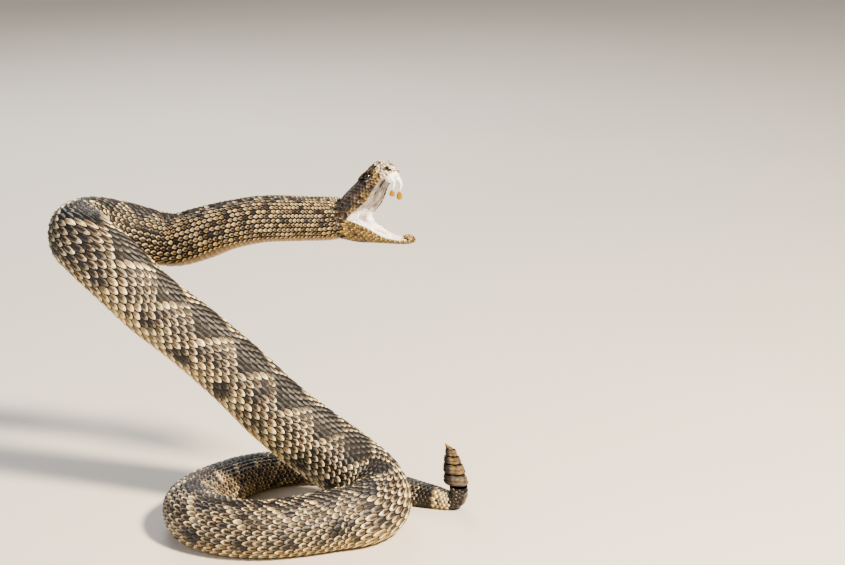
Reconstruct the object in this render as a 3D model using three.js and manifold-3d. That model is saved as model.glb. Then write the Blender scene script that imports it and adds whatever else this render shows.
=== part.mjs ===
// A western diamondback rattlesnake at life size, raised to strike with its mouth open.
// Millimetres, +Z up, +X towards the open mouth, origin on the floor under the middle of its box.
import * as THREE from 'three';
import { mergeVertices } from 'three/addons/utils/BufferGeometryUtils.js';
import Module from 'manifold-3d';

const wasm = await Module();
wasm.setup();

// Driving dimensions
const gap = 0.3;            // left between pieces that touch
const bodySides = 16;       // points round a body ring
const ringStep = 9;         // between body rings where the belly lies on the floor
const scuteLength = 10.5;   // one broad belly scute
const scuteLip = 0.7;       // how far a scute's free edge stands proud
const scuteEdge = 0.8;      // length of the step between two scutes
const headLength = 48.5;    // hinge of the jaw to the snout
const jawLength = 46;
const hinge = [47.5, -5, 213.5];
const headTurn = { yaw: -13, pitch: 47.5, roll: -18 };  // degrees: skull thrown back and rolled
const jawTurn = { yaw: -15, pitch: -11, roll: -8 };
const eyeRadius = 2.9;
const fangRadius = 0.95;
const restShare = 0.46;     // height of the spine over the floor where the body lies, to its own height
const layoutCentre = [-15.12, -6.63];  // middle of the whole box in the layout's own plan

// Spine from inside the skull to the end of the tail: place, body width and body height.
// A station without a height of its own lies on the floor.
const spine = [
  { at: [51.5, -3.5, 227.5], wide: 25, high: 12 },
  { at: [46.5, -3.5, 219], wide: 28, high: 20 },
  { at: [38, -1, 215], wide: 26, high: 28 },
  { at: [14, 11.5, 211], wide: 27, high: 30 },
  { at: [-13, 23, 207.5], wide: 29, high: 31.5 },
  { at: [-37, 33, 200.5], wide: 31, high: 33 },
  { at: [-58, 43, 191.5], wide: 34, high: 36 },
  { at: [-77, 50, 185], wide: 35, high: 36 },
  { at: [-95, 53, 187], wide: 36, high: 37 },
  { at: [-117, 51.5, 192], wide: 38, high: 40 },
  { at: [-134, 40.5, 196], wide: 40, high: 43 },
  { at: [-139.5, 24, 196.5], wide: 41, high: 44 },
  { at: [-130, 7.5, 193.5], wide: 41, high: 44 },
  { at: [-112, -1, 179], wide: 42, high: 44 },
  { at: [-89, -2, 155.5], wide: 42, high: 42.5 },
  { at: [-62.5, -2, 133.5], wide: 43, high: 42 },
  { at: [-32, -1, 105], wide: 44, high: 43 },
  { at: [-6, 0, 77.5], wide: 45, high: 45 },
  { at: [20, 0, 55], wide: 45, high: 47 },
  { at: [45, -4, 37.5], wide: 45, high: 47 },
  { at: [61.5, -13, 27], wide: 44, high: 45 },
  { at: [66, -29, 21.5], wide: 43, high: 43 },
  { at: [56, -44], wide: 43, high: 41.5 },
  { at: [36, -52], wide: 42.5, high: 39.5 },
  { at: [13, -60], wide: 42, high: 37.5 },
  { at: [-10, -64], wide: 42, high: 36 },
  { at: [-35, -60], wide: 42, high: 36 },
  { at: [-55, -46], wide: 42, high: 36 },
  { at: [-61.5, -25], wide: 41, high: 35 },
  { at: [-55.5, -1], wide: 37, high: 33 },
  { at: [-44, 21], wide: 33, high: 30 },
  { at: [-28, 43], wide: 29.5, high: 26.5 },
  { at: [-4, 56], wide: 27, high: 24 },
  { at: [24, 57], wide: 25, high: 22.5 },
  { at: [50, 43], wide: 22.5, high: 21 },
  { at: [70, 29], wide: 20.5, high: 19.5 },
  { at: [88, 19], wide: 18.5, high: 17.8 },
  { at: [104.5, 12], wide: 15.5, high: 15.5 },
  { at: [115.5, 8.8], wide: 13.2, high: 13.2 },
  { at: [120.6, 7.5, 9], wide: 12.2, high: 12.2 },
  { at: [121.4, 7.2, 15.6], wide: 11.5, high: 11.5 },
];

// The lengths that the body is divided into, by station of the spine
const neckStart = 2;
const lengths = [
  { name: 'neck', from: 2, to: 6, scutes: true, color: 0xa98f6c },
  { name: 'fore_body_bend', from: 6, to: 12, scutes: true, color: 0xa58a68 },
  { name: 'raised_body_upper', from: 12, to: 16, scutes: true, color: 0xa08462 },
  { name: 'raised_body_lower', from: 16, to: 19, scutes: true, color: 0x9c805e },
  { name: 'coil_turn', from: 19, to: 23, scutes: false, color: 0xa08462 },
  { name: 'coil_front', from: 23, to: 26, scutes: false, color: 0x9c805e },
  { name: 'coil_left', from: 26, to: 30, scutes: false, color: 0xa08462 },
  { name: 'coil_back', from: 30, to: 34, scutes: false, color: 0x9c805e },
  { name: 'tail_base', from: 34, to: 37, scutes: false, color: 0x9a8568 },
  { name: 'tail', from: 37, to: 40, scutes: false, color: 0x4a4038 },
];

const radians = THREE.MathUtils.degToRad;
const lastStation = spine.length - 1;
const station = ({ at: [x, y, z], high }) => new THREE.Vector3(x, y, z ?? high * restShare);
const route = new THREE.CatmullRomCurve3(spine.map(station));
const girth = new THREE.CatmullRomCurve3(
  spine.map((s, i) => new THREE.Vector3(s.wide, s.high, 10 * i)),
);

function finish(color, roughness) {
  return new THREE.MeshStandardMaterial({ color, roughness, metalness: 0 });
}

// A closed skin over rings of equal counts, with a fan at each end
function loft(rings) {
  const sides = rings[0].length;
  const points = rings.flat();
  const ends = [rings[0], rings[rings.length - 1]].map((ring) => {
    const middle = new THREE.Vector3();
    ring.forEach((p) => middle.addScaledVector(p, 1 / sides));
    return points.push(middle) - 1;
  });
  const faces = [];
  for (let k = 0; k < rings.length; k += 1) {
    for (let i = 0; i < sides; i += 1) {
      const here = k * sides + i;
      const next = k * sides + ((i + 1) % sides);
      if (k === 0) faces.push(ends[0], next, here);
      if (k === rings.length - 1) faces.push(ends[1], here, next);
      else faces.push(here, next, next + sides, here, next + sides, here + sides);
    }
  }
  const geometry = new THREE.BufferGeometry();
  geometry.setAttribute('position', new THREE.Float32BufferAttribute(points.flatMap((p) => [p.x, p.y, p.z]), 3));
  geometry.setIndex(volume(points, faces) < 0 ? faces.reverse() : faces);
  return geometry;
}

function volume(points, faces) {
  let sum = 0;
  for (let f = 0; f < faces.length; f += 3) {
    const [a, b, c] = [points[faces[f]], points[faces[f + 1]], points[faces[f + 2]]];
    sum += a.dot(new THREE.Vector3().crossVectors(b, c)) / 6;
  }
  return sum;
}

function toSolid(geometry) {
  const bare = geometry.clone();
  bare.deleteAttribute('normal');
  bare.deleteAttribute('uv');
  const merged = mergeVertices(bare, 1e-4);
  return new wasm.Manifold(new wasm.Mesh({
    numProp: 3,
    vertProperties: new Float32Array(merged.attributes.position.array),
    triVerts: new Uint32Array(merged.index.array),
  }));
}

// The largest closed surface of a solid, as geometry
function toGeometry(solid) {
  const kept = solid.decompose().reduce((a, b) => (a.volume() > b.volume() ? a : b));
  const mesh = kept.getMesh();
  const geometry = new THREE.BufferGeometry();
  geometry.setAttribute('position', new THREE.BufferAttribute(mesh.vertProperties, 3));
  geometry.setIndex(new THREE.BufferAttribute(mesh.triVerts, 1));
  geometry.computeVertexNormals();
  return geometry;
}

// A smooth value along x through a few [x, value] pairs
function profile(pairs) {
  return (x) => {
    let k = 0;
    while (k < pairs.length - 2 && x > pairs[k + 1][0]) k += 1;
    const slope = (i) => {
      const a = pairs[Math.max(i - 1, 0)];
      const b = pairs[Math.min(i + 1, pairs.length - 1)];
      return (b[1] - a[1]) / (b[0] - a[0]);
    };
    const span = pairs[k + 1][0] - pairs[k][0];
    const t = THREE.MathUtils.clamp((x - pairs[k][0]) / span, 0, 1);
    const rise = t * t * (3 - 2 * t);
    const lead = t * (1 - t) * (1 - t) * span * slope(k);
    const trail = t * t * (t - 1) * span * slope(k + 1);
    return pairs[k][1] * (1 - rise) + pairs[k + 1][1] * rise + lead + trail;
  };
}

// One ring of the body at a station of the spine, shifted along it, with the belly let down by drop
function bodyRing(stop, { shift = 0, drop = 0, grow = 0 } = {}) {
  const t = stop / lastStation;
  const back = route.getTangent(t);
  const up = new THREE.Vector3(0, 0, 1).addScaledVector(back, -back.z).normalize();
  const left = new THREE.Vector3().crossVectors(back, up);
  const centre = route.getPoint(t).addScaledVector(back, shift);
  const size = girth.getPoint(t);
  const points = [];
  for (let i = 0; i < bodySides; i += 1) {
    const angle = (2 * Math.PI * i) / bodySides;
    const [c, s] = [Math.cos(angle), Math.sin(angle)];
    const full = s < 0 ? 0.86 : 0.94;     // the belly is squarer than the back
    const across = Math.sign(c) * Math.abs(c) ** full * (size.x / 2 + grow);
    const lift = Math.sign(s) * Math.abs(s) ** full * (size.y / 2 + grow);
    const belly = THREE.MathUtils.smoothstep(-s, 0.55, 0.9) * drop;
    const point = centre.clone().addScaledVector(left, across).addScaledVector(up, lift - belly);
    point.z = Math.max(point.z, 0);
    points.push(point);
  }
  return points;
}

// Distance along the spine, and back to stations
const fineness = 2000;
const reach = route.getLengths(fineness);
const distanceTo = (stop) => reach[Math.round((stop / lastStation) * fineness)];
function stationAt(distance) {
  let k = 1;
  while (k < fineness && reach[k] < distance) k += 1;
  const part = (distance - reach[k - 1]) / (reach[k] - reach[k - 1]);
  return ((k - 1 + part) / fineness) * lastStation;
}

// One length of the body between two flat cuts, with raised scutes where its belly is free
function bodyLength({ from, to, scutes }) {
  const [start, end] = [distanceTo(from), distanceTo(to)];
  const step = scutes ? scuteLength : ringStep;
  const count = Math.round((end - start) / step);
  const rings = [bodyRing(from, { shift: gap / 2 })];
  for (let k = 1; k < count; k += 1) {
    const distance = start + ((end - start) * k) / count;
    if (scutes) {
      rings.push(bodyRing(stationAt(distance - scuteEdge / 2), { drop: scuteLip }));
      rings.push(bodyRing(stationAt(distance + scuteEdge / 2)));
    } else {
      rings.push(bodyRing(stationAt(distance)));
    }
  }
  rings.push(bodyRing(to, { shift: -gap / 2, drop: scutes ? scuteLip : 0 }));
  return loft(rings);
}

// Head, in its own frame: x from the jaw hinge to the snout, y left, z up from the plane of the lips
const headHalf = profile([[-0.1, 9], [0.04, 13.5], [0.18, 16], [0.31, 15.4], [0.45, 13.2], [0.58, 11.4],
  [0.72, 10], [0.85, 8.9], [0.94, 7.2], [0.99, 4]]);
const headTop = profile([[-0.1, 10], [0.06, 12.2], [0.24, 13.4], [0.4, 13.9], [0.55, 14.2], [0.7, 14],
  [0.82, 13.8], [0.92, 13.2], [0.97, 10.6], [0.99, 8]]);
const headLip = profile([[-0.1, -2], [0.2, -2.6], [0.4, -3.2], [0.52, -2.2], [0.66, 0.2], [0.82, 1.2],
  [0.92, 0.6], [0.99, 0]]);
const palateRise = profile([[-0.1, 1.5], [0.12, 2.6], [0.6, 3.2], [0.86, 2.4], [0.99, 1.6]]);
const jawHalf = profile([[-0.2, 11.5], [0, 13], [0.17, 15], [0.38, 14], [0.6, 11.8], [0.77, 9.8], [0.89, 7.4],
  [0.96, 5], [1, 2.4]]);
const jawDepth = profile([[-0.2, 12.8], [0, 12.4], [0.25, 11.3], [0.42, 9.4], [0.6, 7.6], [0.8, 5.6],
  [0.94, 4.2], [1, 2.4]]);
const jawLip = profile([[-0.2, 3], [0.1, 3], [0.33, 1.8], [0.48, 0], [0.62, -1], [0.82, -1], [1, 0]]);
const jawFloor = profile([[-0.2, 4], [0, 4.5], [0.25, 3.8], [0.8, 2.4], [1, 1]]);

function headRing(x, grow = 0) {
  const share = x / headLength;
  const side = headHalf(share);
  const half = side + grow;
  const top = headTop(share) + grow;
  const lip = headLip(share);
  const roof = palateRise(share) - grow;
  const lipIn = [side - 1.6 - grow, lip + 1.2 - grow];
  const lipEdge = [side - 0.6, lip - grow];
  const outline = [lipIn, lipEdge, [half + 0.4, lip + 1.2], [half, lip + 3]];
  const crown = 7;
  for (let i = 1; i < crown; i += 1) {
    const angle = (Math.PI * i) / crown;
    const across = Math.sign(Math.cos(angle)) * Math.abs(Math.cos(angle)) ** 0.7 * half;
    outline.push([across, lip + 3 + (top - lip - 3) * Math.sin(angle) ** 0.62]);
  }
  outline.push([-half, lip + 3], [-half - 0.4, lip + 1.2], [-lipEdge[0], lipEdge[1]]);
  outline.push([-lipIn[0], lipIn[1]], [-side * 0.45, roof], [side * 0.45, roof]);
  return outline.map(([y, z]) => new THREE.Vector3(x, y, z));
}

function jawRing(x, grow = 0) {
  const share = x / jawLength;
  const side = jawHalf(share);
  const half = side + grow;
  const depth = jawDepth(share) + grow;
  const lip = jawLip(share);
  const floor = grow - jawFloor(share);
  const slope = [side - 2 - grow, (lip + floor + grow) / 2];
  const rim = [side - 0.8, lip + grow];
  const outline = [[side * 0.45, floor], slope, rim, [half, lip - 1]];
  const keel = 6;
  for (let i = 1; i < keel; i += 1) {
    const angle = (Math.PI * i) / keel;
    const across = Math.sign(Math.cos(angle)) * Math.abs(Math.cos(angle)) ** 0.75 * half;
    outline.push([across, lip - 1 - (depth + lip - 1) * Math.sin(angle) ** 0.8]);
  }
  outline.push([-half, lip - 1], [-rim[0], rim[1]], [-slope[0], slope[1]], [-side * 0.45, floor]);
  return outline.map(([y, z]) => new THREE.Vector3(x, y, z));
}

const spread = (from, to, count) => Array.from({ length: count + 1 }, (_, i) => from + ((to - from) * i) / count);

function ball(radii, centre, turn = [0, 0, 0], detail = 10) {
  const geometry = new THREE.SphereGeometry(1, detail, Math.round(detail * 0.7));
  geometry.applyMatrix4(new THREE.Matrix4().compose(
    new THREE.Vector3(...centre),
    new THREE.Quaternion().setFromEuler(new THREE.Euler(...turn.map(radians))),
    new THREE.Vector3(...radii),
  ));
  return toSolid(geometry);
}

// Groups that carry the skull and the lower jaw, both turned about the hinge
function hingedGroup({ yaw, pitch, roll }) {
  const group = new THREE.Group();
  group.position.set(...hinge);
  group.rotation.set(radians(roll), radians(-pitch), radians(yaw), 'ZYX');
  group.updateMatrixWorld(true);
  return group;
}

const head = hingedGroup(headTurn);
const jaw = hingedGroup(jawTurn);
const intoHead = head.matrixWorld.clone().invert();
const intoJaw = jaw.matrixWorld.clone().invert();
const headToJaw = intoJaw.clone().multiply(head.matrixWorld);
const jawToHead = headToJaw.clone().invert();
const gape = headTurn.pitch - jawTurn.pitch;

const eyeAt = (side) => [33, side * 9.3, 10.6];
const fangRoot = (side) => [43.2, side * 4.6, -1];
const fangKnee = (side) => [43.2, side * 4.5, -7.2];
const fangTip = (side) => [38.8, side * 4.3, -9];

// The back of the skull and the muscles of the jaw, which run on from the neck
function nape(grow = 0) {
  const rings = spread(0, neckStart, 5).map((stop) => bodyRing(stop, { grow }));
  rings[0] = bodyRing(0, { shift: -grow, grow });
  rings[5] = bodyRing(neckStart, { shift: -gap / 2, grow });
  return toSolid(loft(rings).applyMatrix4(intoHead));
}

function skull(grow = 0) {
  const stops = [...spread(-4, 41, 11), 44.4, 46.8, headLength - 0.5];
  return toSolid(loft(stops.map((x) => headRing(x, grow)))).add(nape(grow));
}

// A block over the front of the neck, which trims what would reach behind the head's back face
function neckBlock(shift, into) {
  const rings = [bodyRing(neckStart, { shift, grow: 6 }), bodyRing(neckStart + 0.7, { grow: 6 })];
  return toSolid(loft(rings).applyMatrix4(into));
}

// The fleshy sleeve that a fang stands out of
function sheath(side, grow = 0) {
  return ball([3.1 + grow, 2.4 + grow, 4 + grow], [43.4, side * 4.7, -0.2]);
}

function makeHead() {
  let solid = skull();
  for (const side of [-1, 1]) {
    const brow = ball([6.2, 3, 1.4], [32.8, side * 7.8, 14], [side * 12, 0, side * -8]);
    const ridge = ball([6, 1.5, 1.3], [41, side * 7.4, 12.4], [0, 4, side * -12], 8);
    solid = solid.add(brow).add(ridge).add(sheath(side));
    solid = solid.subtract(ball([eyeRadius + gap, eyeRadius + gap, eyeRadius + gap], eyeAt(side)));
    solid = solid.subtract(ball([1.2, 1.5, 1], [45, side * 7.5, 6.6], [0, 0, 0], 8));
    solid = solid.subtract(ball([1.5, 1.6, 1.3], [39, side * 9.8, 6.2], [0, 0, 0], 8));
  }
  return toGeometry(solid.subtract(neckBlock(-gap / 2, intoHead)));
}

const jawStops = [...spread(-9, 41, 10), 43.6, jawLength - 0.3];

function makeLowerJaw() {
  const trough = toSolid(loft(jawStops.map((x) => jawRing(x))));
  const clear = trough.subtract(skull(gap).transform(headToJaw.elements));
  return toGeometry(clear.subtract(neckBlock(-gap * 1.5, intoJaw)));
}

// The lining that joins the jaws at the corners of the mouth, hollowed towards the gullet
function makeMouth() {
  const side = new THREE.Shape();
  const along = (distance, turn) => [distance * Math.cos(turn), -distance * Math.sin(turn)];
  side.moveTo(0, 0);
  side.lineTo(...along(22, -radians(6)));
  side.quadraticCurveTo(...along(11, radians(gape / 2)), ...along(19, radians(gape + 4)));
  side.closePath();
  const width = 26;
  const slab = new THREE.ExtrudeGeometry(side, { depth: width, bevelEnabled: false, curveSegments: 6 });
  slab.rotateX(Math.PI / 2);
  slab.translate(0, width / 2, 0);
  const jawClear = toSolid(loft(jawStops.map((x) => jawRing(x, gap))).applyMatrix4(jawToHead));
  const gullet = ball([11, 6.5, 4], [13.5, 0, -6.5], [0, gape / 2, 0]);
  return toGeometry(toSolid(slab).subtract(skull(gap)).subtract(jawClear).subtract(gullet));
}

// A curved cone from root to tip
function makeFang(side) {
  const root = new THREE.Vector3(...fangRoot(side));
  const tip = new THREE.Vector3(...fangTip(side));
  const knee = new THREE.Vector3(...fangKnee(side));
  const curve = new THREE.QuadraticBezierCurve3(root, knee, tip);
  const rings = [0, 0.25, 0.5, 0.75, 0.92, 1].map((t) => {
    const radius = fangRadius * (1 - 0.88 * t ** 1.6);
    const centre = curve.getPoint(t);
    const down = curve.getTangent(t);
    const across = new THREE.Vector3(0, 1, 0);
    const fore = new THREE.Vector3().crossVectors(across, down).normalize();
    return spread(0, 7, 7).map((i) => {
      const angle = (i * Math.PI) / 4;
      return centre.clone().addScaledVector(across, radius * Math.cos(angle))
        .addScaledVector(fore, radius * Math.sin(angle));
    });
  });
  return toGeometry(toSolid(loft(rings)).subtract(sheath(side, gap)).subtract(skull(gap)));
}

// A bead of venom that hangs straight down from a fang's tip, in the frame of the whole animal
function makeDrop(side, radius, length) {
  const tip = new THREE.Vector3(...fangTip(side)).applyMatrix4(head.matrixWorld);
  const outline = [0, 0.12, 0.3, 0.5, 0.7, 0.88, 1].map((t) => {
    const angle = Math.PI * t;
    return new THREE.Vector2(radius * Math.sin(angle) * (0.55 + 0.45 * t), length * (1 - Math.cos(angle)) / -2);
  });
  outline[0].x = 0;
  outline[outline.length - 1].x = 0;
  const geometry = new THREE.LatheGeometry(outline.reverse(), 10);
  geometry.rotateX(Math.PI / 2);
  geometry.translate(tip.x, tip.y, tip.z - gap);
  return toGeometry(toSolid(geometry));
}

// Rattle: horny segments threaded on one another, the oldest one broken to a point
const rattleLean = 0.27;    // towards the coil, for each millimetre of height
const rattleSegments = [
  { wide: 18, deep: 12, high: 9.2 },
  { wide: 16.4, deep: 11.2, high: 8.6 },
  { wide: 13.6, deep: 9.6, high: 5.6 },
  { wide: 9.6, deep: 7.6, high: 5 },
];
const rattleSpike = { high: 4.6, aside: -3.4 };  // the wall that is left of a lost segment

function makeRattle() {
  const rings = [];
  let height = 0;
  const addRing = (wide, deep, z, aside = 0) => {
    rings.push(spread(0, 13, 13).map((i) => {
      const angle = (2 * Math.PI * i) / 14;
      const groove = 1 - 0.16 * Math.abs(Math.sin(angle)) ** 8;
      const across = (wide / 2) * Math.cos(angle) - rattleLean * z + aside;
      return new THREE.Vector3(across, (deep / 2) * Math.sin(angle) * groove, z);
    }));
  };
  for (const { wide, deep, high } of rattleSegments) {
    const lobe = [[0, 0.74], [0.14, 0.95], [0.42, 1], [0.7, 0.9], [0.86, 0.95], [0.97, 0.78]];
    for (const [part, size] of lobe) addRing(wide * size, deep * size, height + part * high);
    height += high;
  }
  addRing(3.2, 3.4, height + 0.7, rattleSpike.aside * 0.7);
  addRing(0.8, 0.8, height + rattleSpike.high, rattleSpike.aside);
  return toGeometry(toSolid(loft(rings)));
}

// Assembly
const snake = new THREE.Group();
snake.name = 'rattlesnake';
snake.position.set(-layoutCentre[0], -layoutCentre[1], 0);
snake.add(head, jaw);

function addPiece(parent, name, geometry, color, roughness = 0.6) {
  const mesh = new THREE.Mesh(geometry, finish(color, roughness));
  mesh.name = name;
  parent.add(mesh);
  return mesh;
}

for (const part of lengths) addPiece(snake, part.name, bodyLength(part), part.color, 0.65);
addPiece(head, 'head', makeHead(), 0xa8906f, 0.6);
addPiece(jaw, 'lower_jaw', makeLowerJaw(), 0xcdbb93, 0.6);
addPiece(head, 'mouth_lining', makeMouth(), 0xe3d3cb, 0.35);
for (const [word, side] of [['left', 1], ['right', -1]]) {
  addPiece(head, `eye_${word}`, new THREE.SphereGeometry(eyeRadius, 12, 8).translate(...eyeAt(side)), 0x2a2118, 0.15);
  addPiece(head, `fang_${word}`, makeFang(side), 0xeee5cf, 0.25);
}
addPiece(snake, 'venom_drop_left', makeDrop(1, 1.8, 5.2), 0xd98a1c, 0.05);
addPiece(snake, 'venom_drop_right', makeDrop(-1, 1.8, 3.6), 0xd98a1c, 0.05);
const rattle = addPiece(snake, 'rattle', makeRattle(), 0xb08a5c, 0.5);
const tailEnd = route.getTangent(1);
rattle.position.copy(route.getPoint(1)).addScaledVector(tailEnd, gap / 2);
rattle.quaternion.setFromUnitVectors(new THREE.Vector3(0, 0, 1), tailEnd);

export default snake;
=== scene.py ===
# Western diamondback rattlesnake, raised to strike: skin, scales, head, mouth and rattle
import math
import bpy
import bmesh
import numpy as np
from mathutils import Euler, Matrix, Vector
from mathutils.bvhtree import BVHTree
from mathutils.noise import noise as smoothNoise


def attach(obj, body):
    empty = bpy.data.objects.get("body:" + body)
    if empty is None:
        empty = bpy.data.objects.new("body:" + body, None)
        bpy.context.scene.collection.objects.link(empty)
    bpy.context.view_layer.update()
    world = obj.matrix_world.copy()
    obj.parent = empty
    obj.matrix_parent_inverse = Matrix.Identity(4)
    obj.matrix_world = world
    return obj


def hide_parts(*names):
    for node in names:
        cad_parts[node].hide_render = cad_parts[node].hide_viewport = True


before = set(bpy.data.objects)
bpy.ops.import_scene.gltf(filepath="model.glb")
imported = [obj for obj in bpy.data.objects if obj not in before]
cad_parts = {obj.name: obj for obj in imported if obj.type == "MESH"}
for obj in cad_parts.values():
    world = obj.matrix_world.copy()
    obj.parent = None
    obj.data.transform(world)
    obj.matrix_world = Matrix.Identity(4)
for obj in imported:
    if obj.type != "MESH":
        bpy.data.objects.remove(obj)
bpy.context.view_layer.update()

mm = 0.001
rng = np.random.default_rng(7)

# The animal's route and girth, millimetres: x, y, height of the spine (None where it lies), width, height
layout = {
    "centre": (-15.12, -6.63),
    "restShare": 0.46,
    "hinge": (47.5, -5.0, 213.5),
    "headTurn": (-13.0, 47.5, -18.0),   # yaw, pitch and roll in degrees
    "jawTurn": (-15.0, -11.0, -8.0),
    "headLength": 48.5,
    "jawLength": 46.0,
    "roll": 24, "rollReach": (270, 330, 500, 580),    # how far the raised part's back is rolled, and where
}
spine = [
    (51.5, -3.5, 227.5, 25, 12), (46.5, -3.5, 219, 28, 20), (38, -1, 215, 26, 28), (14, 11.5, 211, 27, 30),
    (-13, 23, 207.5, 29, 31.5), (-37, 33, 200.5, 31, 33), (-58, 43, 191.5, 34, 36), (-77, 50, 185, 35, 36),
    (-95, 53, 187, 36, 37), (-117, 51.5, 192, 38, 40), (-134, 40.5, 196, 40, 43), (-139.5, 24, 196.5, 41, 44),
    (-130, 7.5, 193.5, 41, 44), (-112, -1, 179, 42, 44), (-89, -2, 155.5, 42, 42.5),
    (-62.5, -2, 133.5, 43, 42), (-32, -1, 105, 44, 43), (-6, 0, 77.5, 45, 45), (20, 0, 55, 45, 47),
    (45, -4, 37.5, 45, 47), (61.5, -13, 27, 44, 45), (66, -29, 21.5, 43, 43), (56, -44, None, 43, 41.5),
    (36, -52, None, 42.5, 39.5), (13, -60, None, 42, 37.5), (-10, -64, None, 42, 36),
    (-35, -60, None, 42, 36), (-55, -46, None, 42, 36), (-61.5, -25, None, 41, 35),
    (-55.5, -1, None, 37, 33), (-44, 21, None, 33, 30), (-28, 43, None, 29.5, 26.5), (-4, 56, None, 27, 24),
    (24, 57, None, 25, 22.5), (50, 43, None, 22.5, 21), (70, 29, None, 20.5, 19.5),
    (88, 19, None, 18.5, 17.8), (104.5, 12, None, 15.5, 15.5), (115.5, 8.8, None, 13.2, 13.2),
    (120.6, 7.5, 9, 13.4, 12.4), (121.4, 7.2, 18.2, 14.2, 12.2),
]


# Small helpers
def linear(hexCode):
    def channel(c):
        c /= 255
        return c / 12.92 if c <= 0.04045 else ((c + 0.055) / 1.055) ** 2.4
    return tuple(channel(int(hexCode[i:i + 2], 16)) for i in (1, 3, 5)) + (1.0,)


def addNode(tree, kind, settings=None, inputs=None):
    node = tree.nodes.new(kind)
    for key, value in (settings or {}).items():
        setattr(node, key, value)
    for key, value in (inputs or {}).items():
        if isinstance(value, bpy.types.Node):
            value = next(socket for socket in value.outputs if socket.enabled)
        if isinstance(value, bpy.types.NodeSocket):
            tree.links.new(value, node.inputs[key])
        else:
            node.inputs[key].default_value = value
    return node


def smoothstep(x, low, high):
    t = np.clip((x - low) / (high - low), 0, 1)
    return t * t * (3 - 2 * t)


def unit(v):
    return v / np.maximum(np.linalg.norm(v, axis=-1, keepdims=True), 1e-9)


def profile(pairs):
    xs, ys = (np.array(column, float) for column in zip(*pairs))
    slopes = np.array([(ys[min(i + 1, len(xs) - 1)] - ys[max(i - 1, 0)])
                       / (xs[min(i + 1, len(xs) - 1)] - xs[max(i - 1, 0)]) for i in range(len(xs))])

    def value(x):
        x = np.asarray(x, float)
        k = np.clip(np.searchsorted(xs, x) - 1, 0, len(xs) - 2)
        span = xs[k + 1] - xs[k]
        t = np.clip((x - xs[k]) / span, 0, 1)
        rise = t * t * (3 - 2 * t)
        lead = t * (1 - t) ** 2 * span * slopes[k]
        trail = t * t * (t - 1) * span * slopes[k + 1]
        return ys[k] * (1 - rise) + ys[k + 1] * rise + lead + trail
    return value


# Makes an object of a mesh in metres, its colour layers and its bake map
def placeMesh(name, mesh, material, marks, faces=None, uv=None):
    for layer, values in (marks or {}).items():
        colours = np.ones((len(mesh.vertices), 4), np.float32)
        colours[:, :values.shape[1]] = values
        mesh.attributes.new(layer, "FLOAT_COLOR", "POINT").data.foreach_set("color", colours.ravel())
    if uv is not None:
        mesh.uv_layers.new(name="OFBake").data.foreach_set("uv", uv[faces.ravel()].astype(np.float32).ravel())
    mesh.materials.append(material)
    piece = bpy.data.objects.new(name, mesh)
    bpy.context.scene.collection.objects.link(piece)
    return piece


# Large meshes of four-sided faces only, straight from arrays
def buildMesh(name, points, faces, material, uv=None, marks=None):
    mesh = bpy.data.meshes.new(name)
    faces = np.asarray(faces, np.int32)
    count, corners = faces.shape
    mesh.vertices.add(len(points))
    mesh.vertices.foreach_set("co", (np.asarray(points, np.float64) * mm).astype(np.float32).ravel())
    mesh.loops.add(count * corners)
    mesh.loops.foreach_set("vertex_index", faces.ravel())
    mesh.polygons.add(count)
    mesh.polygons.foreach_set("loop_start", np.arange(0, count * corners, corners, dtype=np.int32))
    mesh.polygons.foreach_set("use_smooth", np.ones(count, bool))
    mesh.update(calc_edges=True)
    mesh.validate()
    return placeMesh(name, mesh, material, marks, faces, uv)


# Small closed forms with any kind of face, all turned outwards
def buildSolid(name, points, faces, material, marks=None):
    mesh = bpy.data.meshes.new(name)
    mesh.from_pydata([tuple(float(c) * mm for c in p) for p in points], [],
                     [tuple(int(i) for i in f) for f in faces])
    turnOutwards(mesh)
    return placeMesh(name, mesh, material, marks)


def turnOutwards(mesh):
    workshop = bmesh.new()
    workshop.from_mesh(mesh)
    bmesh.ops.recalc_face_normals(workshop, faces=workshop.faces)
    for face in workshop.faces:
        face.smooth = True
    workshop.to_mesh(mesh)
    workshop.free()


def gridFaces(rows, columns, closed=False):
    across = columns if closed else columns - 1
    r, c = np.meshgrid(np.arange(rows - 1), np.arange(across), indexing="ij")
    here, beside = r * columns + c, r * columns + (c + 1) % columns
    return np.stack([here, beside, beside + columns, here + columns], axis=-1).reshape(-1, 4)


# The route as a centripetal Catmull-Rom curve, sampled densely and measured along its length
def catmull(points, samples, power):
    points = np.asarray(points, float)
    ends = [2 * points[0] - points[1]], [2 * points[-1] - points[-2]]
    padded = np.concatenate([ends[0], points, ends[1]])
    t = np.linspace(0, len(points) - 1, samples)
    k = np.minimum(t.astype(int), len(points) - 2)
    w = (t - k)[:, None]
    p0, p1, p2, p3 = (padded[k + i] for i in range(4))
    d0, d1, d2 = (np.linalg.norm(b - a, axis=1, keepdims=True) ** power
                  for a, b in ((p0, p1), (p1, p2), (p2, p3)))
    t1 = ((p1 - p0) / d0 - (p2 - p0) / (d0 + d1) + (p2 - p1) / d1) * d1
    t2 = ((p2 - p1) / d1 - (p3 - p1) / (d1 + d2) + (p3 - p2) / d2) * d1
    return p1 + t1 * w + (3 * (p2 - p1) - 2 * t1 - t2) * w ** 2 + (2 * (p1 - p2) + t1 + t2) * w ** 3


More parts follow.
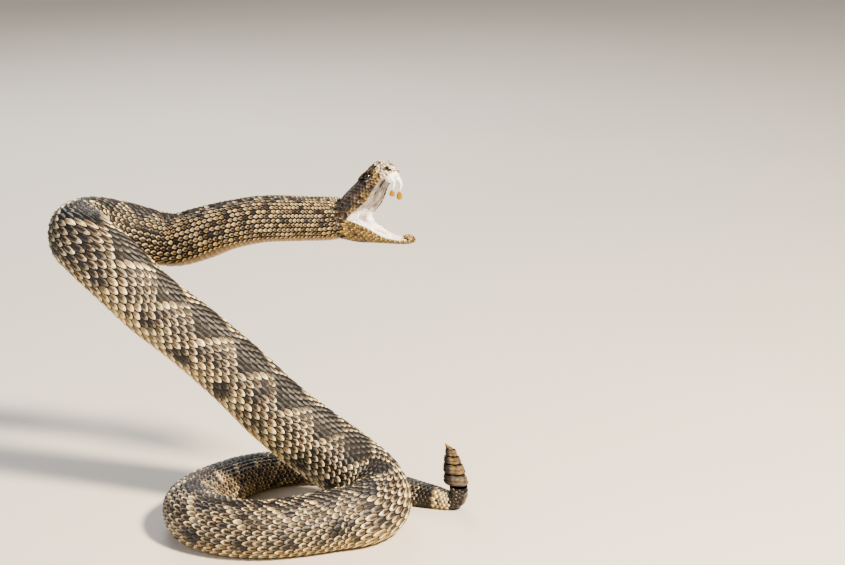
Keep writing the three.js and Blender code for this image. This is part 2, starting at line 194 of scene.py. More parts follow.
shift = np.array([*layout["centre"], 0.0])
places = [(x, y, z if z is not None else high * layout["restShare"]) for x, y, z, wide, high in spine]
sizes = [(wide, high, 10 * i) for i, (x, y, z, wide, high) in enumerate(spine)]
routeSamples = 4001
route = catmull(places, routeSamples, 0.5) - shift
girth = catmull(sizes, routeSamples, 0.5)[:, :2]
steps = np.linalg.norm(np.diff(route, axis=0), axis=1)
reach = np.concatenate([[0], np.cumsum(steps)])
bodyLong = reach[-1]
backward = unit(np.gradient(route, axis=0))
upward = unit(np.array([0, 0, 1.0]) - backward * backward[:, 2:3])
tailEnd = routeSamples - 400
for i in range(tailEnd, routeSamples):      # the tail's end stands upright, so its back is carried along
    upward[i] = unit(upward[i - 1] - backward[i] * (backward[i] @ upward[i - 1]))
leftward = np.cross(backward, upward)
roll = np.radians(layout["roll"] * np.interp(reach, layout["rollReach"], (0, 1, 1, 0)))[:, None]
upward, leftward = (upward * np.cos(roll) + leftward * np.sin(roll),
                    leftward * np.cos(roll) - upward * np.sin(roll))
print(f"route: {bodyLong:.0f} mm from skull to rattle")

# Share of the girth against angle on the squarish body section
sectionAngles = np.linspace(-math.pi, math.pi, 721)     # from the back, positive to the animal's left


def sectionShape(angle):
    across, lift = np.sin(angle), np.cos(angle)
    full = np.where(lift < 0, 0.86, 0.94)
    return np.sign(across) * np.abs(across) ** full, np.sign(lift) * np.abs(lift) ** full


ringX, ringZ = sectionShape(sectionAngles)
ringReach = np.concatenate([[0], np.cumsum(np.hypot(np.diff(ringX), np.diff(ringZ)))])
ringShare = ringReach / ringReach[-1] - 0.5


def at(table, s):
    return np.stack([np.interp(s, reach, table[:, i]) for i in range(table.shape[1])], axis=-1)


def bodyPoint(s, q):
    q = (q + 0.5) % 1 - 0.5
    size = at(girth, s) / 2
    across, rise = sectionShape(np.interp(q, ringShare, sectionAngles))
    point = at(route, s) + at(leftward, s) * (across * size[..., 0])[..., None]
    point += at(upward, s) * (rise * size[..., 1])[..., None]
    point[..., 2] = np.maximum(point[..., 2], scaleLook["floorGap"])
    return point


# Point and outward normal of the body at a distance s behind the skull and a share q of the girth
def bodySurface(s, q):
    stepS, stepQ = 0.4, 0.003
    downBack = bodyPoint(s + stepS, q) - bodyPoint(s - stepS, q)
    roundBody = bodyPoint(s, q + stepQ) - bodyPoint(s, q - stepQ)
    return bodyPoint(s, q), unit(np.cross(roundBody, downBack))


# Rows and pitches of the body scales. Rows run lengthwise, 25 of them at mid body.
scaleLook = {
    "rowsShare": 0.78,          # of the girth that is covered by small scales, the rest is belly scutes
    "bellyFrom": 0.372,
    "floorGap": 0.34,
    "width": 1.12, "length": 1.25,     # to the pitch
    "root": -0.5, "tip": 0.26,         # heights of a scale over the skin's outer face, mm
    "camber": 0.34, "keel": 0.34, "edge": 0.4,
    "backRow": 0.8,                    # breadth of the back's middle row to the mean
    "diamond": 5,                      # pitches from one diamond to the next
    "diamondEdge": 325.4,              # a place where two diamonds meet on the back, mm from the skull
    "skinFrom": 33, "skinDepth": 0.25, "scutesFrom": 16,
    "cuts": (9, 215, 415, 600, 760),   # where a new piece of the coat starts, mm from the skull
}
# How far single scales stray: share of their size, turn and lift in mm, shares of dark, pale and tone
scaleLuck = {"size": 0.03, "turn": 0.05, "lift": 0.05, "dark": 0.13, "pale": 0.3, "tone": 0.33}
longPitch = profile([
    (0, 2.5), (20, 2.9), (60, 3.5), (110, 4.3), (170, 5.4), (240, 6.8), (300, 7.2), (343, 7.3), (380, 7.1),
    (416, 7.65), (452, 6.4), (483, 6.2), (520, 5.9), (560, 5.5), (640, 5.4), (720, 5.0), (800, 4.4),
    (860, 3.7), (900, 3.1), (937, 2.8)])
rowCount = profile([(0, 25), (640, 25), (760, 21), (850, 18), (900, 15), (937, 13)])
fineReach = np.linspace(-40, bodyLong, 5000)
fineIndex = np.concatenate([[0], np.cumsum(np.diff(fineReach) / longPitch(fineReach[:-1]))])
edgeIndex = np.interp(scaleLook["diamondEdge"], fineReach, fineIndex)
fineIndex -= (edgeIndex - scaleLook["diamond"] / 2) % scaleLook["diamond"]


# Relief grows with the pitch, within limits
def reliefSize(s):
    return np.clip(longPitch(s) / 5.5, 0.45, 1.1)


def rowStep(s):
    return scaleLook["rowsShare"] / rowCount(s)


# Rows are narrow along the back and broad beside the belly: where row r lies, and how broad it is
def rowSpread(s, r):
    even = scaleLook["backRow"] + (1 - scaleLook["backRow"]) * smoothstep(s, 800, 880)
    share = np.abs(r) * 2 / rowCount(s)
    return r * rowStep(s) * (even + (1 - even) * share), rowStep(s) * (even + 2 * (1 - even) * share)


# Each side blotch has a place, size and strength of its own
blotchLuck = rng.random((80, 2, 4))
# The tail's bands, mm behind the skull: where each change of colour starts and ends
tailBands = {"tail": (868, 884), "brown": (880, 884), "brownEnd": (899, 901), "black": (900, 902),
             "cream": (911, 913), "blackEnd": (923, 925)}


# Markings in lattice coordinates, r rows off the back's middle and k pitches along. Gives each scale its
# shares of dark, cream and belly colour.
def markings(r, k, s, q):
    period = scaleLook["diamond"]
    along = (k + period / 2) % period - period / 2
    number = np.floor((k + period / 2) / period).astype(int) % len(blotchLuck)
    luck = blotchLuck[number, (r > 0).astype(int)]
    mottle = np.array([smoothNoise(Vector((a, b, 0))) for a, b in zip(np.ravel(s) * 0.16, np.ravel(q) * 22)])
    mottle = mottle.reshape(np.shape(s))
    back, flank = np.abs(r), np.abs(q)
    coil = smoothstep(s, 530, 600)

    # diamonds, darkest inside their rear edges, with a pale border; on the coil they break up into patches
    narrow = 1 + 0.5 * (1 - smoothstep(s, 120, 260))      # the neck's blotches keep to the back
    off = back * narrow + 2 * np.abs(along)
    diamond = 1 - smoothstep(off, 5.0, 5.4)
    rim = smoothstep(off, 2.6, 4.6) * diamond
    rear = smoothstep(along, -1.2, 1.2)
    dark = diamond * (0.62 + 0.38 * rim * (0.4 + 0.6 * rear))
    dark = dark * (1 - coil * (0.75 - 0.7 * smoothstep(mottle, -0.2, 0.15)))
    border = smoothstep(off, 5.2, 5.8) * (1 - smoothstep(off, 6.6, 7.2))
    border = border * (0.25 + 0.75 * rear) * (0.35 + 0.65 * smoothstep(s, 150, 270))
    border = border * (1 - 0.45 * smoothstep(s, 330, 420)) * (1 + 0.8 * coil)

    # blotches along the flank, a lower row of fainter ones, and mottling between them
    blotch = 1 - smoothstep(np.hypot((back - 8.4 - 1.2 * luck[..., 0]) / (1.0 + 0.7 * luck[..., 1]),
                                     (along - 0.6 * luck[..., 2]) / (0.65 + 0.4 * luck[..., 1])), 0.7, 1.3)
    low = 1 - smoothstep(np.hypot(back - 11, ((k + 1.25) % 2.5 - 1.25) / 0.7), 0.7, 1.2)
    dark = np.maximum(dark, (0.5 + 0.45 * luck[..., 3]) * blotch * (0.4 + 0.6 * smoothstep(s, 180, 300)))
    dark = np.maximum(dark, 0.24 * low)
    reachDown = 0.16 + 0.2 * smoothstep(s, 110, 200)      # on the neck the mottling stays near the back
    patchy = smoothstep(mottle, 0.12, 0.38) * (1 - smoothstep(flank, reachDown - 0.07, reachDown))
    dark = np.maximum(dark, patchy * (0.62 - 0.34 * smoothstep(s, 150, 280)))
    dark = dark * (0.4 + 0.6 * smoothstep(s, 25, 100))
    dark = np.maximum(dark, 0.42 * smoothstep(-mottle, 0.05, 0.4) * (1 - smoothstep(flank, 0.24, 0.34)))

    # pale scales of the neck and of the raised part's lower flank
    lowFlank = smoothstep(flank, 0.13, 0.27) * smoothstep(s, 240, 300) * (1 - 0.6 * smoothstep(s, 480, 560))
    paleNeck = smoothstep(mottle, -0.42, 0.02) * (1 - smoothstep(s, 90, 230))
    border = np.maximum(border, np.maximum(paleNeck, 0.95 * lowFlank) * (1 - dark))
    belly = np.maximum(smoothstep(flank, 0.25, 0.37), 0.3 * (1 - smoothstep(s, 90, 250)))

    # the tail's bands replace all that
    tail, brown, brownEnd, black, cream, blackEnd = (smoothstep(s, *ends) for ends in tailBands.values())
    bands = np.maximum((black * (1 - cream) + blackEnd) * (0.98 - 0.36 * blackEnd),
                       brown * (1 - brownEnd) * 0.5)
    dark = dark * (1 - tail) + bands * tail
    border = border * (1 - tail) + cream * (1 - blackEnd) * tail
    return np.stack([dark, border, belly * (1 - tail)], axis=-1)


# A plate's outline and relief, shared by every scale. Rows run from root to tip, the last ring is its edge.
plateU = np.array([0, 0.16, 0.36, 0.56, 0.74, 0.88, 0.96, 1, 1])
plateV = np.array([-1, -1, -0.62, -0.2, 0, 0.2, 0.62, 1, 1])
plateFaces = gridFaces(len(plateU), len(plateV))
leafHalf, lozengeHalf = (np.interp(plateU, plateU[:8], half) for half in (
    [0.6, 0.84, 0.98, 1, 0.88, 0.64, 0.4, 0.12], [0.12, 0.5, 0.92, 1, 0.78, 0.46, 0.24, 0.08]))
u, v = np.meshgrid(plateU, plateV, indexing="ij")
plateGrid = (u, v)
plateHeight = scaleLook["root"] + (scaleLook["tip"] - scaleLook["root"]) * smoothstep(u, -0.25, 0.85)
plateHeight -= scaleLook["camber"] * v ** 2
plateHeight += scaleLook["keel"] * np.exp(-(v / 0.16) ** 2) * smoothstep(u, 0.1, 0.4)


# Turns the free edges of a plate's relief down into the skin
def turnedDown(height, depth):
    height[..., -1, :] -= depth
    height[..., :, 0] -= depth
    height[..., :, -1] -= depth
    return height


turnedDown(plateHeight, scaleLook["edge"])


def repeatFaces(faces, count, stride):
    return (faces[None] + (np.arange(count) * stride)[:, None, None]).reshape(-1, 4)


# Builds all plates of a piece as one mesh. The bake map gives each plate a patch at its root's place.
def buildPlates(name, point, faces, material, marks, tone, grid, uvPlace, patch):
    count, shape = len(point), point.shape[:-1]
    u, v = grid
    form = np.stack([np.broadcast_to(values, shape) for values in (u, np.abs(v), tone[:, None, None])],
                    axis=-1)
    uv = np.stack([np.broadcast_to(place + size * part, shape)
                   for place, size, part in zip(uvPlace, patch, (u - 0.5, v))], axis=-1)
    return buildMesh(name, point.reshape(-1, 3), repeatFaces(faces, count, u.size), material,
                     uv=np.clip(uv.reshape(-1, 2), 0, 1),
                     marks={"marks": marks.reshape(-1, 3), "form": form.reshape(-1, 3)})


# Lattice of the body scales
def bodyLattice(sFrom, sTo):
    ks = np.arange(*(math.ceil(np.interp(x, fineReach, fineIndex)) for x in (sFrom, sTo)))
    k, r = np.meshgrid(ks, np.arange(-13, 14), indexing="ij")
    index = (k + 0.5 * (r % 2)).ravel()
    r = r.ravel()
    s = np.interp(index, fineIndex, fineReach)
    q = rowSpread(s, r)[0]
    keep = np.abs(q) < scaleLook["bellyFrom"] + 0.012
    return s[keep], q[keep], r[keep], index[keep]


# Scales of the nape lie on the head's skin where it stands proud of the neck
def drapedOnHead(point, normal, chosen):
    starts, ways = point[chosen], normal[chosen]
    flatStart, flatWay = starts.reshape(-1, 3), ways.reshape(-1, 3)
    for i, (start, way) in enumerate(zip(flatStart, flatWay)):
        hit, facing, _, distance = skinTree.ray_cast(Vector(start + way * 9), Vector(-way), 9.4)
        if hit is not None and distance < 8.9:
            flatStart[i] = np.array(hit) + np.array(facing) * headForm["skinDepth"]
            flatWay[i] = np.array(facing)
    point[chosen], normal[chosen] = flatStart.reshape(starts.shape), flatWay.reshape(ways.shape)
    return point, normal


def bodyScales(name, sFrom, sTo, material):
    s, q, r, index = bodyLattice(sFrom, sTo)
    atHead = sFrom < 40
    if atHead:
        near = s < headForm["napeReach"]
        place = drapedOnHead(*bodySurface(s, q), near)[0]
        keep = ~near | clearOf(place, np.concatenate(headPlates["place"]), headForm["napeGap"])
        s, q, r, index = s[keep], q[keep], r[keep], index[keep]
    count = len(s)
    u, v = plateGrid
    long = longPitch(s) * scaleLook["length"] * (1 + scaleLuck["size"] * rng.standard_normal(count))
    wide = rowSpread(s, r)[1] * scaleLook["width"] * (1 + scaleLuck["size"] * rng.standard_normal(count))
    stretched = 1 - smoothstep(s, 130, 240)               # the neck's skin shows between its scales
    long *= 1 - 0.06 * stretched
    wide *= 1 - 0.25 * stretched
    turn = scaleLuck["turn"] * rng.standard_normal(count)
    size = reliefSize(s)
    share = stretched[:, None, None]
    shape = (leafHalf[:, None] * (1 - share) + lozengeHalf[:, None] * share) * v / 2
    sGrid = s[:, None, None] + (u - 0.5) * long[:, None, None]
    qGrid = q[:, None, None] + shape * wide[:, None, None]
    qGrid += (u - 0.5) * turn[:, None, None] * rowStep(s)[:, None, None]
    point, normal = bodySurface(np.clip(sGrid, 0.5, bodyLong - 0.3), qGrid)
    if atHead:
        near = s < headForm["napeReach"]
        point, normal = drapedOnHead(point, normal, near)
        spread = np.linalg.norm(point - point.mean(axis=(1, 2), keepdims=True), axis=-1).max(axis=(1, 2))
        # no scale is torn between head and neck
        whole = spread < 0.6 * np.maximum(long, wide) + 2.0 + 3 * (np.abs(q) > 0.3)
        whole |= s > headForm["napeReach"]
        s, q, r, index, size, stretched = (values[whole] for values in (s, q, r, index, size, stretched))
        point, normal = point[whole], normal[whole]
        count = len(s)
    lift = plateHeight * size[:, None, None] + scaleLuck["lift"] * rng.standard_normal(count)[:, None, None]
    point = point + normal * lift[..., None]
    point[..., 2] = np.maximum(point[..., 2], 0.03)
    marks = markings(r, index, s, q)
    marks[:, 0] += scaleLuck["dark"] * rng.standard_normal(count)
    marks[:, 1] *= 0.8 + (scaleLuck["pale"] + 0.12 * stretched) * rng.standard_normal(count)
    marks = np.repeat(np.clip(marks, 0, 1)[:, None], u.size, axis=1)
    tone = np.clip(0.5 + scaleLuck["tone"] * rng.standard_normal(count), 0, 1)
    return buildPlates(name, point, plateFaces, material, marks, tone, plateGrid,
                       (s[:, None, None] / bodyLong, q[:, None, None] + 0.5), (0.003, 0.0015))


# Belly scutes: one broad plate to each pitch, its free edge towards the tail
def bellyScutes(name, sFrom, sTo, material):
    first, last = (np.interp(x, fineReach, fineIndex) for x in (sFrom, sTo))
    s = np.interp(np.arange(math.ceil(first), math.floor(last)), fineIndex, fineReach)
    u, v = np.meshgrid([0, 0.25, 0.5, 0.7, 0.85, 0.95, 1, 1], [-1, *np.linspace(-1, 1, 25), 1], indexing="ij")
    height = scaleLook["root"] + (scaleLook["tip"] + 0.14 - scaleLook["root"]) * smoothstep(u, -0.2, 0.9)
    turnedDown(height, scaleLook["edge"])
    bow = 0.22 * (1 - v ** 2) - 0.3 * np.abs(v) ** 6
    half = 0.5 - scaleLook["bellyFrom"] + 0.006
    long = longPitch(s)[:, None, None] * 1.32
    sGrid = np.clip(s[:, None, None] + (u + bow - 0.5) * long, 0.5, bodyLong - 0.3)
    qGrid = np.broadcast_to(0.5 + v * half, sGrid.shape)
    point, normal = bodySurface(sGrid, qGrid)
    point = point + normal * (height * reliefSize(s)[:, None, None])[..., None]
    point[..., 2] = np.maximum(point[..., 2], 0.02)
    tone = np.clip(0.5 + 0.2 * rng.standard_normal(len(s)), 0, 1)
    wholeQ = np.abs((qGrid + 0.5) % 1 - 0.5)
    marks = markings(wholeQ / rowStep(sGrid), np.interp(sGrid, fineReach, fineIndex), sGrid, wholeQ)
    marks[..., :2] *= smoothstep(sGrid, *tailBands["tail"])[..., None]
    # from the raised part to the tail the scutes turn cream; under the neck their golden-brown stays as
    # painted shade with warm reflected light
    raised = smoothstep(sGrid, 200, 300) * (1 - smoothstep(sGrid, 860, 880))
    marks[..., 1] = np.maximum(marks[..., 1], 0.6 * raised)
    return buildPlates(name, point, gridFaces(*u.shape), material, marks, tone, (u, v),
                       (s[:, None, None] / bodyLong, 0.5), (0.003, 0.2))


# The skin under the scales, one tube from the nape to the rattle
def bodySkin(sFrom, sTo, depth):
    rows, columns = int((sTo - sFrom) / 2.4), 64
    s, q = np.meshgrid(np.linspace(sFrom, sTo, rows), np.arange(columns) / columns - 0.5, indexing="ij")
    point, normal = bodySurface(s, q)
    point = point - normal * depth
    point[..., 2] = np.maximum(point[..., 2], scaleLook["floorGap"])
    marks = markings(q / rowStep(s), np.interp(s, fineReach, fineIndex), s, q)
    marks[..., 1] *= smoothstep(s, 905, 912)
    uv = np.stack([s / bodyLong, q + 0.5], axis=-1).reshape(-1, 2)
    return point.reshape(-1, 3), gridFaces(rows, columns, closed=True), marks.reshape(-1, 3), uv


# Head. Its frame: x from the jaw's hinge to the snout, y to the left, z up from the plane of the lips, mm.
headForm = {
    "half": [(-0.1, 9), (0.04, 13.5), (0.18, 16), (0.31, 15.4), (0.45, 13.2), (0.58, 11.4), (0.72, 10),
             (0.85, 8.9), (0.94, 7.2), (0.99, 4)],
    "top": [(-0.1, 10), (0.06, 12.2), (0.24, 13.4), (0.4, 13.9), (0.55, 14.2), (0.7, 14), (0.82, 13.8),
            (0.92, 13.2), (0.97, 10.6), (0.99, 8)],
    "lip": [(-0.1, -2), (0.2, -2.6), (0.4, -3.2), (0.52, -2.2), (0.66, 0.2), (0.82, 1.2), (0.92, 0.6),
            (0.99, 0)],
    "palate": [(-0.1, 1.5), (0.12, 2.6), (0.6, 3.2), (0.86, 2.4), (0.99, 1.6)],
    "jawHalf": [(-0.2, 11.5), (0, 13), (0.17, 15), (0.38, 14), (0.6, 11.8), (0.77, 9.8), (0.89, 7.4),
                (0.96, 5), (1, 2.4)],
    "jawDepth": [(-0.2, 12.8), (0, 12.4), (0.25, 11.3), (0.42, 9.4), (0.6, 7.6), (0.8, 5.6), (0.94, 4.2),
                 (1, 2.4)],
    "jawLip": [(-0.2, 3), (0.06, 3), (0.22, 2.6), (0.36, 1.2), (0.5, -0.9), (0.64, -2.2), (0.84, -1.8),
               (1, 0)],
    "jawFloor": [(-0.2, 4), (0, 4.8), (0.25, 4.6), (0.6, 4.2), (0.84, 3.0), (1, 1)],
    "skinDepth": 0.3,
    "eye": (33.0, 8.8, 9.9), "eyeRadius": 2.9,
    "nostril": (46.8, 6.0, 4.4), "pit": (39.2, 9.6, 5.4),
    "napeReach": 46,          # how far behind the skull the neck's scales lie on the head's skin
    "napeGap": 1.7,           # how far they keep from the plates of the head
}
form = {key: profile(value) if isinstance(value, list) else value for key, value in headForm.items()}


def hinged(turn):
    yaw, pitch, roll = (math.radians(angle) for angle in turn)
    turned = np.array(Euler((roll, -pitch, yaw), "XYZ").to_matrix())
    hinge = np.array(layout["hinge"]) - shift
    return (lambda p: np.asarray(p, float) @ turned.T + hinge,
            lambda p: (np.asarray(p, float) - hinge) @ turned)


headOut, headIn = hinged(layout["headTurn"])
jawOut, jawIn = hinged(layout["jawTurn"])
headTurned = np.array(headOut(np.eye(3)) - headOut(np.zeros(3)))     # rows: forward, left and up of the skull


def headOutline(x, grow=0.0):
    share = x / layout["headLength"]
    side, top, lip = form["half"](share), form["top"](share) + grow, form["lip"](share)
    half = side + grow
    angle = np.linspace(0, math.pi, 27)
    across = np.sign(np.cos(angle)) * np.abs(np.cos(angle)) ** 0.7 * half
    rise = lip + 3 + (top - lip - 3) * np.sin(angle) ** 0.62
    crown = list(zip(across, rise))
    rightLip = [(side - 1.6, lip + 1.2), (side - 0.6, lip - grow), (half + 0.4, lip + 1.2)]
    return rightLip, crown, [(-y, z) for y, z in reversed(rightLip)], lip + form["palate"](share), side


def jawOutline(x, grow=0.0):
    share = x / layout["jawLength"]
    side, depth, lip = form["jawHalf"](share), form["jawDepth"](share) + grow, form["jawLip"](share)
    half = side + grow
    angle = np.linspace(0, math.pi, 25)
    across = np.sign(np.cos(angle)) * np.abs(np.cos(angle)) ** 0.75 * half
    fall = lip - 1 - (depth + lip - 1) * np.sin(angle) ** 0.8
    floor = -form["jawFloor"](share)
    rim = [(side - 2, (lip + floor) / 2), (side - 0.8, lip + grow)]
    return rim, list(zip(across, fall)), [(-y, z) for y, z in reversed(rim)], floor, side


def ringLoft(rings):
    rings = np.asarray(rings, float)
    count, sides = rings.shape[:2]
    points = np.concatenate([rings.reshape(-1, 3), rings[[0, -1]].mean(axis=1)])
    faces = [tuple(face) for face in gridFaces(count, sides, closed=True)]
    first, last = count * sides, count * sides + 1
    for i in range(sides):
        faces.append((first, (i + 1) % sides, i))
        faces.append((last, (count - 1) * sides + i, (count - 1) * sides + (i + 1) % sides))
    return points, faces


def ellipsoid(centre, radii, turn=(0, 0, 0), rings=18, sides=28):
    polar, longitude = np.meshgrid(np.linspace(0.06, math.pi - 0.06, rings),
                                   np.arange(sides) * 2 * math.pi / sides, indexing="ij")
    ball = np.stack([np.sin(polar) * np.cos(longitude), np.sin(polar) * np.sin(longitude), np.cos(polar)],
                    axis=-1)
    turned = np.array(Euler([math.radians(angle) for angle in turn], "XYZ").to_matrix())
    return ringLoft((ball * np.array(radii)) @ turned.T + np.array(centre))


# Fuses closed forms into one surface with cells of the given size, then relaxes it
def fused(parts, cell, relax):
    points, faces, start = [], [], 0
    for partPoints, partFaces in parts:
        points.append(partPoints)
        faces += [tuple(int(i) + start for i in face) for face in partFaces]
        start += len(partPoints)
    mesh = bpy.data.meshes.new("forms")
    mesh.from_pydata([tuple(p) for p in np.concatenate(points)], [], faces)
    turnOutwards(mesh)
    holder = bpy.data.objects.new("forms", mesh)
    bpy.context.scene.collection.objects.link(holder)
    fuse = holder.modifiers.new("fuse", "REMESH")
    fuse.mode = "VOXEL"
    fuse.voxel_size = cell
    evaluated = holder.evaluated_get(bpy.context.evaluated_depsgraph_get()).to_mesh()
    count = len(evaluated.vertices)
    spots = np.empty(count * 3)
    evaluated.vertices.foreach_get("co", spots)
    spots = spots.reshape(-1, 3)
    quads = np.array([tuple(face.vertices) for face in evaluated.polygons if len(face.vertices) == 4])
    bpy.data.objects.remove(holder)
    bpy.data.meshes.remove(mesh)
    edges = np.concatenate([quads[:, [i, (i + 1) % 4]] for i in range(4)])
    weight = np.bincount(edges.ravel(), minlength=count)[:, None]
    for _ in range(relax):
        total = np.zeros_like(spots)
        np.add.at(total, edges[:, 0], spots[edges[:, 1]])
        np.add.at(total, edges[:, 1], spots[edges[:, 0]])
        spots = spots + 0.6 * (total / np.maximum(weight, 1) - spots)
    return spots, quads


def vertexNormals(points, quads):
    across = np.cross(points[quads[:, 2]] - points[quads[:, 0]], points[quads[:, 3]] - points[quads[:, 1]])
    normals = np.zeros_like(points)
    for i in range(4):
        np.add.at(normals, quads[:, i], across)
    return unit(normals)


# The closed forms of the head, its lower jaw and the nape, sunk by a depth under the outlines
def headParts(depth):
    stops = np.concatenate([np.linspace(-4.5, 41, 30), [43, 45, 46.6, 47.6, layout["headLength"] - 0.5]])
    rings = []
    for x in stops:
        rightLip, crown, leftLip, roof, side = headOutline(x, -depth)
        inner = [(-side * 0.5, roof + depth), (0, roof + depth), (side * 0.5, roof + depth)]
        rings.append(headOut([(x, y, z) for y, z in rightLip + crown + leftLip + inner]))
    parts = [ringLoft(rings)]
    # the lower jaw, with a knob that rounds its front
    rings = []
    for x in np.concatenate([np.linspace(-9, 42, 30), [43.6, 44.8, layout["jawLength"] - 0.3]]):
        rim, keel, otherRim, floor, side = jawOutline(x, -depth)
        inner = [(-side * 0.45, floor - depth), (side * 0.45, floor - depth)]
        rings.append(jawOut([(x, y, z) for y, z in rim + keel + otherRim + inner]))
    parts.append(ringLoft(rings))
    knob, knobFaces = ellipsoid((41.6, 0, -0.5), (4.2, 4.2, 1.7))
    parts.append((jawOut(knob), knobFaces))
    # the start of the neck, so that head and body meet without a step
    q = np.arange(48) / 48 - 0.5
    rings = []
    for s in np.concatenate([np.linspace(12, 30, 9), [36, 42]]):
        point, normal = bodySurface(np.full(48, s), q)
        rings.append(point - normal * (depth + 0.3 * (s > 35)))
    parts.append(ringLoft(rings))
    bumps = []
    for side in (-1, 1):
        bumps += [((32.8, side * 8.8, 12.0), (6.0, 3.3, 1.1), (side * 5, 3, side * -8)),     # brow
                  ((41, side * 7.2, 12.1), (6, 1.7, 1.5), (0, 4, side * -12)),             # snout
                  ((11, side * 11.6, 4.6), (11, 4.2, 6.0), (0, 0, side * -4)),             # gland
                  ((45.2, side * 5.6, 6.2), (2.8, 2.6, 3.2), (0, 0, 0))]                     # nose
    bumps += [((-4, side * 10.4, -2.5), (6, 3.2, 6.5), (0, -25, 0)) for side in (-1, 1)]     # jaw
    for centre, radii, turn in bumps:
        points, faces = ellipsoid(centre, radii, turn)
        parts.append((headOut(points), faces))
    return parts


skinPoints, skinQuads = fused(headParts(headForm["skinDepth"]), 0.42, 5)
skinNormals = vertexNormals(skinPoints, skinQuads)
local = headIn(skinPoints)
localNormals = skinNormals @ headTurned.T


# Presses a soft hollow into the skin round a place in the head's frame
def pressHollow(centre, radii, depth, side):
    away = (local - np.array([centre[0], side * centre[1], centre[2]])) / np.array(radii)
    near = np.exp(-(np.linalg.norm(away, axis=1) ** 2) ** 1.3)
    near[localNormals[:, 1] * side < 0.1] = 0
    skinPoints[:] -= skinNormals * (near * depth)[:, None]


for side in (-1, 1):
    pressHollow((33.0, 10.8, 9.6), (3.4, 3.0, 2.2), 0.5, side)
    pressHollow(headForm["nostril"], (1.2, 2.6, 1.9), 1.6, side)
    pressHollow(headForm["pit"], (1.5, 2.4, 1.3), 1.9, side)
    pressHollow((35.5, 10.4, 6.4), (3.2, 2.0, 1.6), 0.5, side)
skinTree = BVHTree.FromPolygons([tuple(p) for p in skinPoints],
                                [tuple(int(i) for i in face) for face in skinQuads])
print("head skin fused:", len(skinQuads), "faces")


def snapped(points, tree):
    flat = points.reshape(-1, 3)
    found = [tree.find_nearest(Vector(p)) for p in flat]
    base = np.array([tuple(hit[0]) for hit in found]).reshape(points.shape)
    normal = np.array([tuple(hit[1]) for hit in found]).reshape(points.shape)
    return base, normal


# Curved sheets of section lines, so that a place on the head is an x and an arc from the middle line
def sectionSheet(outline, stops, toWorld):
    lines, halves = [], []
    for x in stops:
        line = outline(x)
        pieces = np.array([(x, y, z) for y, z in line])
        arc = np.concatenate([[0], np.cumsum(np.linalg.norm(np.diff(pieces, axis=0), axis=1))])
        even = np.linspace(0, arc[-1], 81)
        lines.append(toWorld(np.stack([np.interp(even, arc, pieces[:, i]) for i in range(3)], axis=-1)))
        halves.append(arc[-1] / 2)
    return np.array(stops), np.array(lines), np.array(halves)


def sheetPlace(sheet, x, arc):
    stops, lines, halves = sheet
    i = np.clip(np.interp(x, stops, np.arange(len(stops))), 0, len(stops) - 1.001)
    j = np.clip((0.5 - arc / (2 * np.interp(x, stops, halves))) * 80, 0, 79.999)
    i0, j0 = i.astype(int), j.astype(int)
    fi, fj = (i - i0)[..., None], (j - j0)[..., None]
    return ((lines[i0, j0] * (1 - fi) + lines[i0 + 1, j0] * fi) * (1 - fj)
            + (lines[i0, j0 + 1] * (1 - fi) + lines[i0 + 1, j0 + 1] * fi) * fj)


crownSheet = sectionSheet(lambda x: headOutline(x)[0][1:] + headOutline(x)[1] + headOutline(x)[2][:-1],
                          np.linspace(-4.5, 47.6, 90), headOut)
chinSheet = sectionSheet(lambda x: jawOutline(x)[0][1:] + jawOutline(x)[1] + jawOutline(x)[2][:-1],
                         np.linspace(-9, 45.2, 90), jawOut)

headPlates = {"place": [], "back": [], "long": [], "wide": [], "keel": [], "lift": [], "marks": [],
              "round": []}


def addPlates(places, backs, long, wide, marks, keel=0.3, lift=0.0, squareness=0.0):
    count = len(places)
    for key, value in (("place", places), ("back", backs), ("long", long), ("wide", wide), ("keel", keel),
                       ("lift", lift), ("round", squareness)):
        value = np.asarray(value, float)
        shape = (count, 3) if key in ("place", "back") else (count,)
        headPlates[key].append(np.broadcast_to(value, shape))
    headPlates["marks"].append(np.broadcast_to(np.asarray(marks, float), (count, 3)))


def clearOf(places, others, distance):
    gaps = np.linalg.norm(places[:, None] - others[None], axis=-1)
    return (gaps > distance).all(axis=1)


def clearOfPlates(places, share=0.62):
    keep = np.ones(len(places), bool)
    for group in zip(*(headPlates[key] for key in ("place", "back", "long", "wide"))):
        for place, back, long, wide in zip(*group):
            away = places - place
            along = away @ unit(back)
            aside = np.linalg.norm(away - along[:, None] * unit(back), axis=1)
            keep &= (along / (long / 2)) ** 2 + (aside / (wide / 2)) ** 2 > share
    return keep


def fromSheet(sheet, x, arc):
    place = sheetPlace(sheet, x, arc)
    back = unit(sheetPlace(sheet, x - 0.8, arc) - sheetPlace(sheet, x + 0.8, arc))
    return place, back
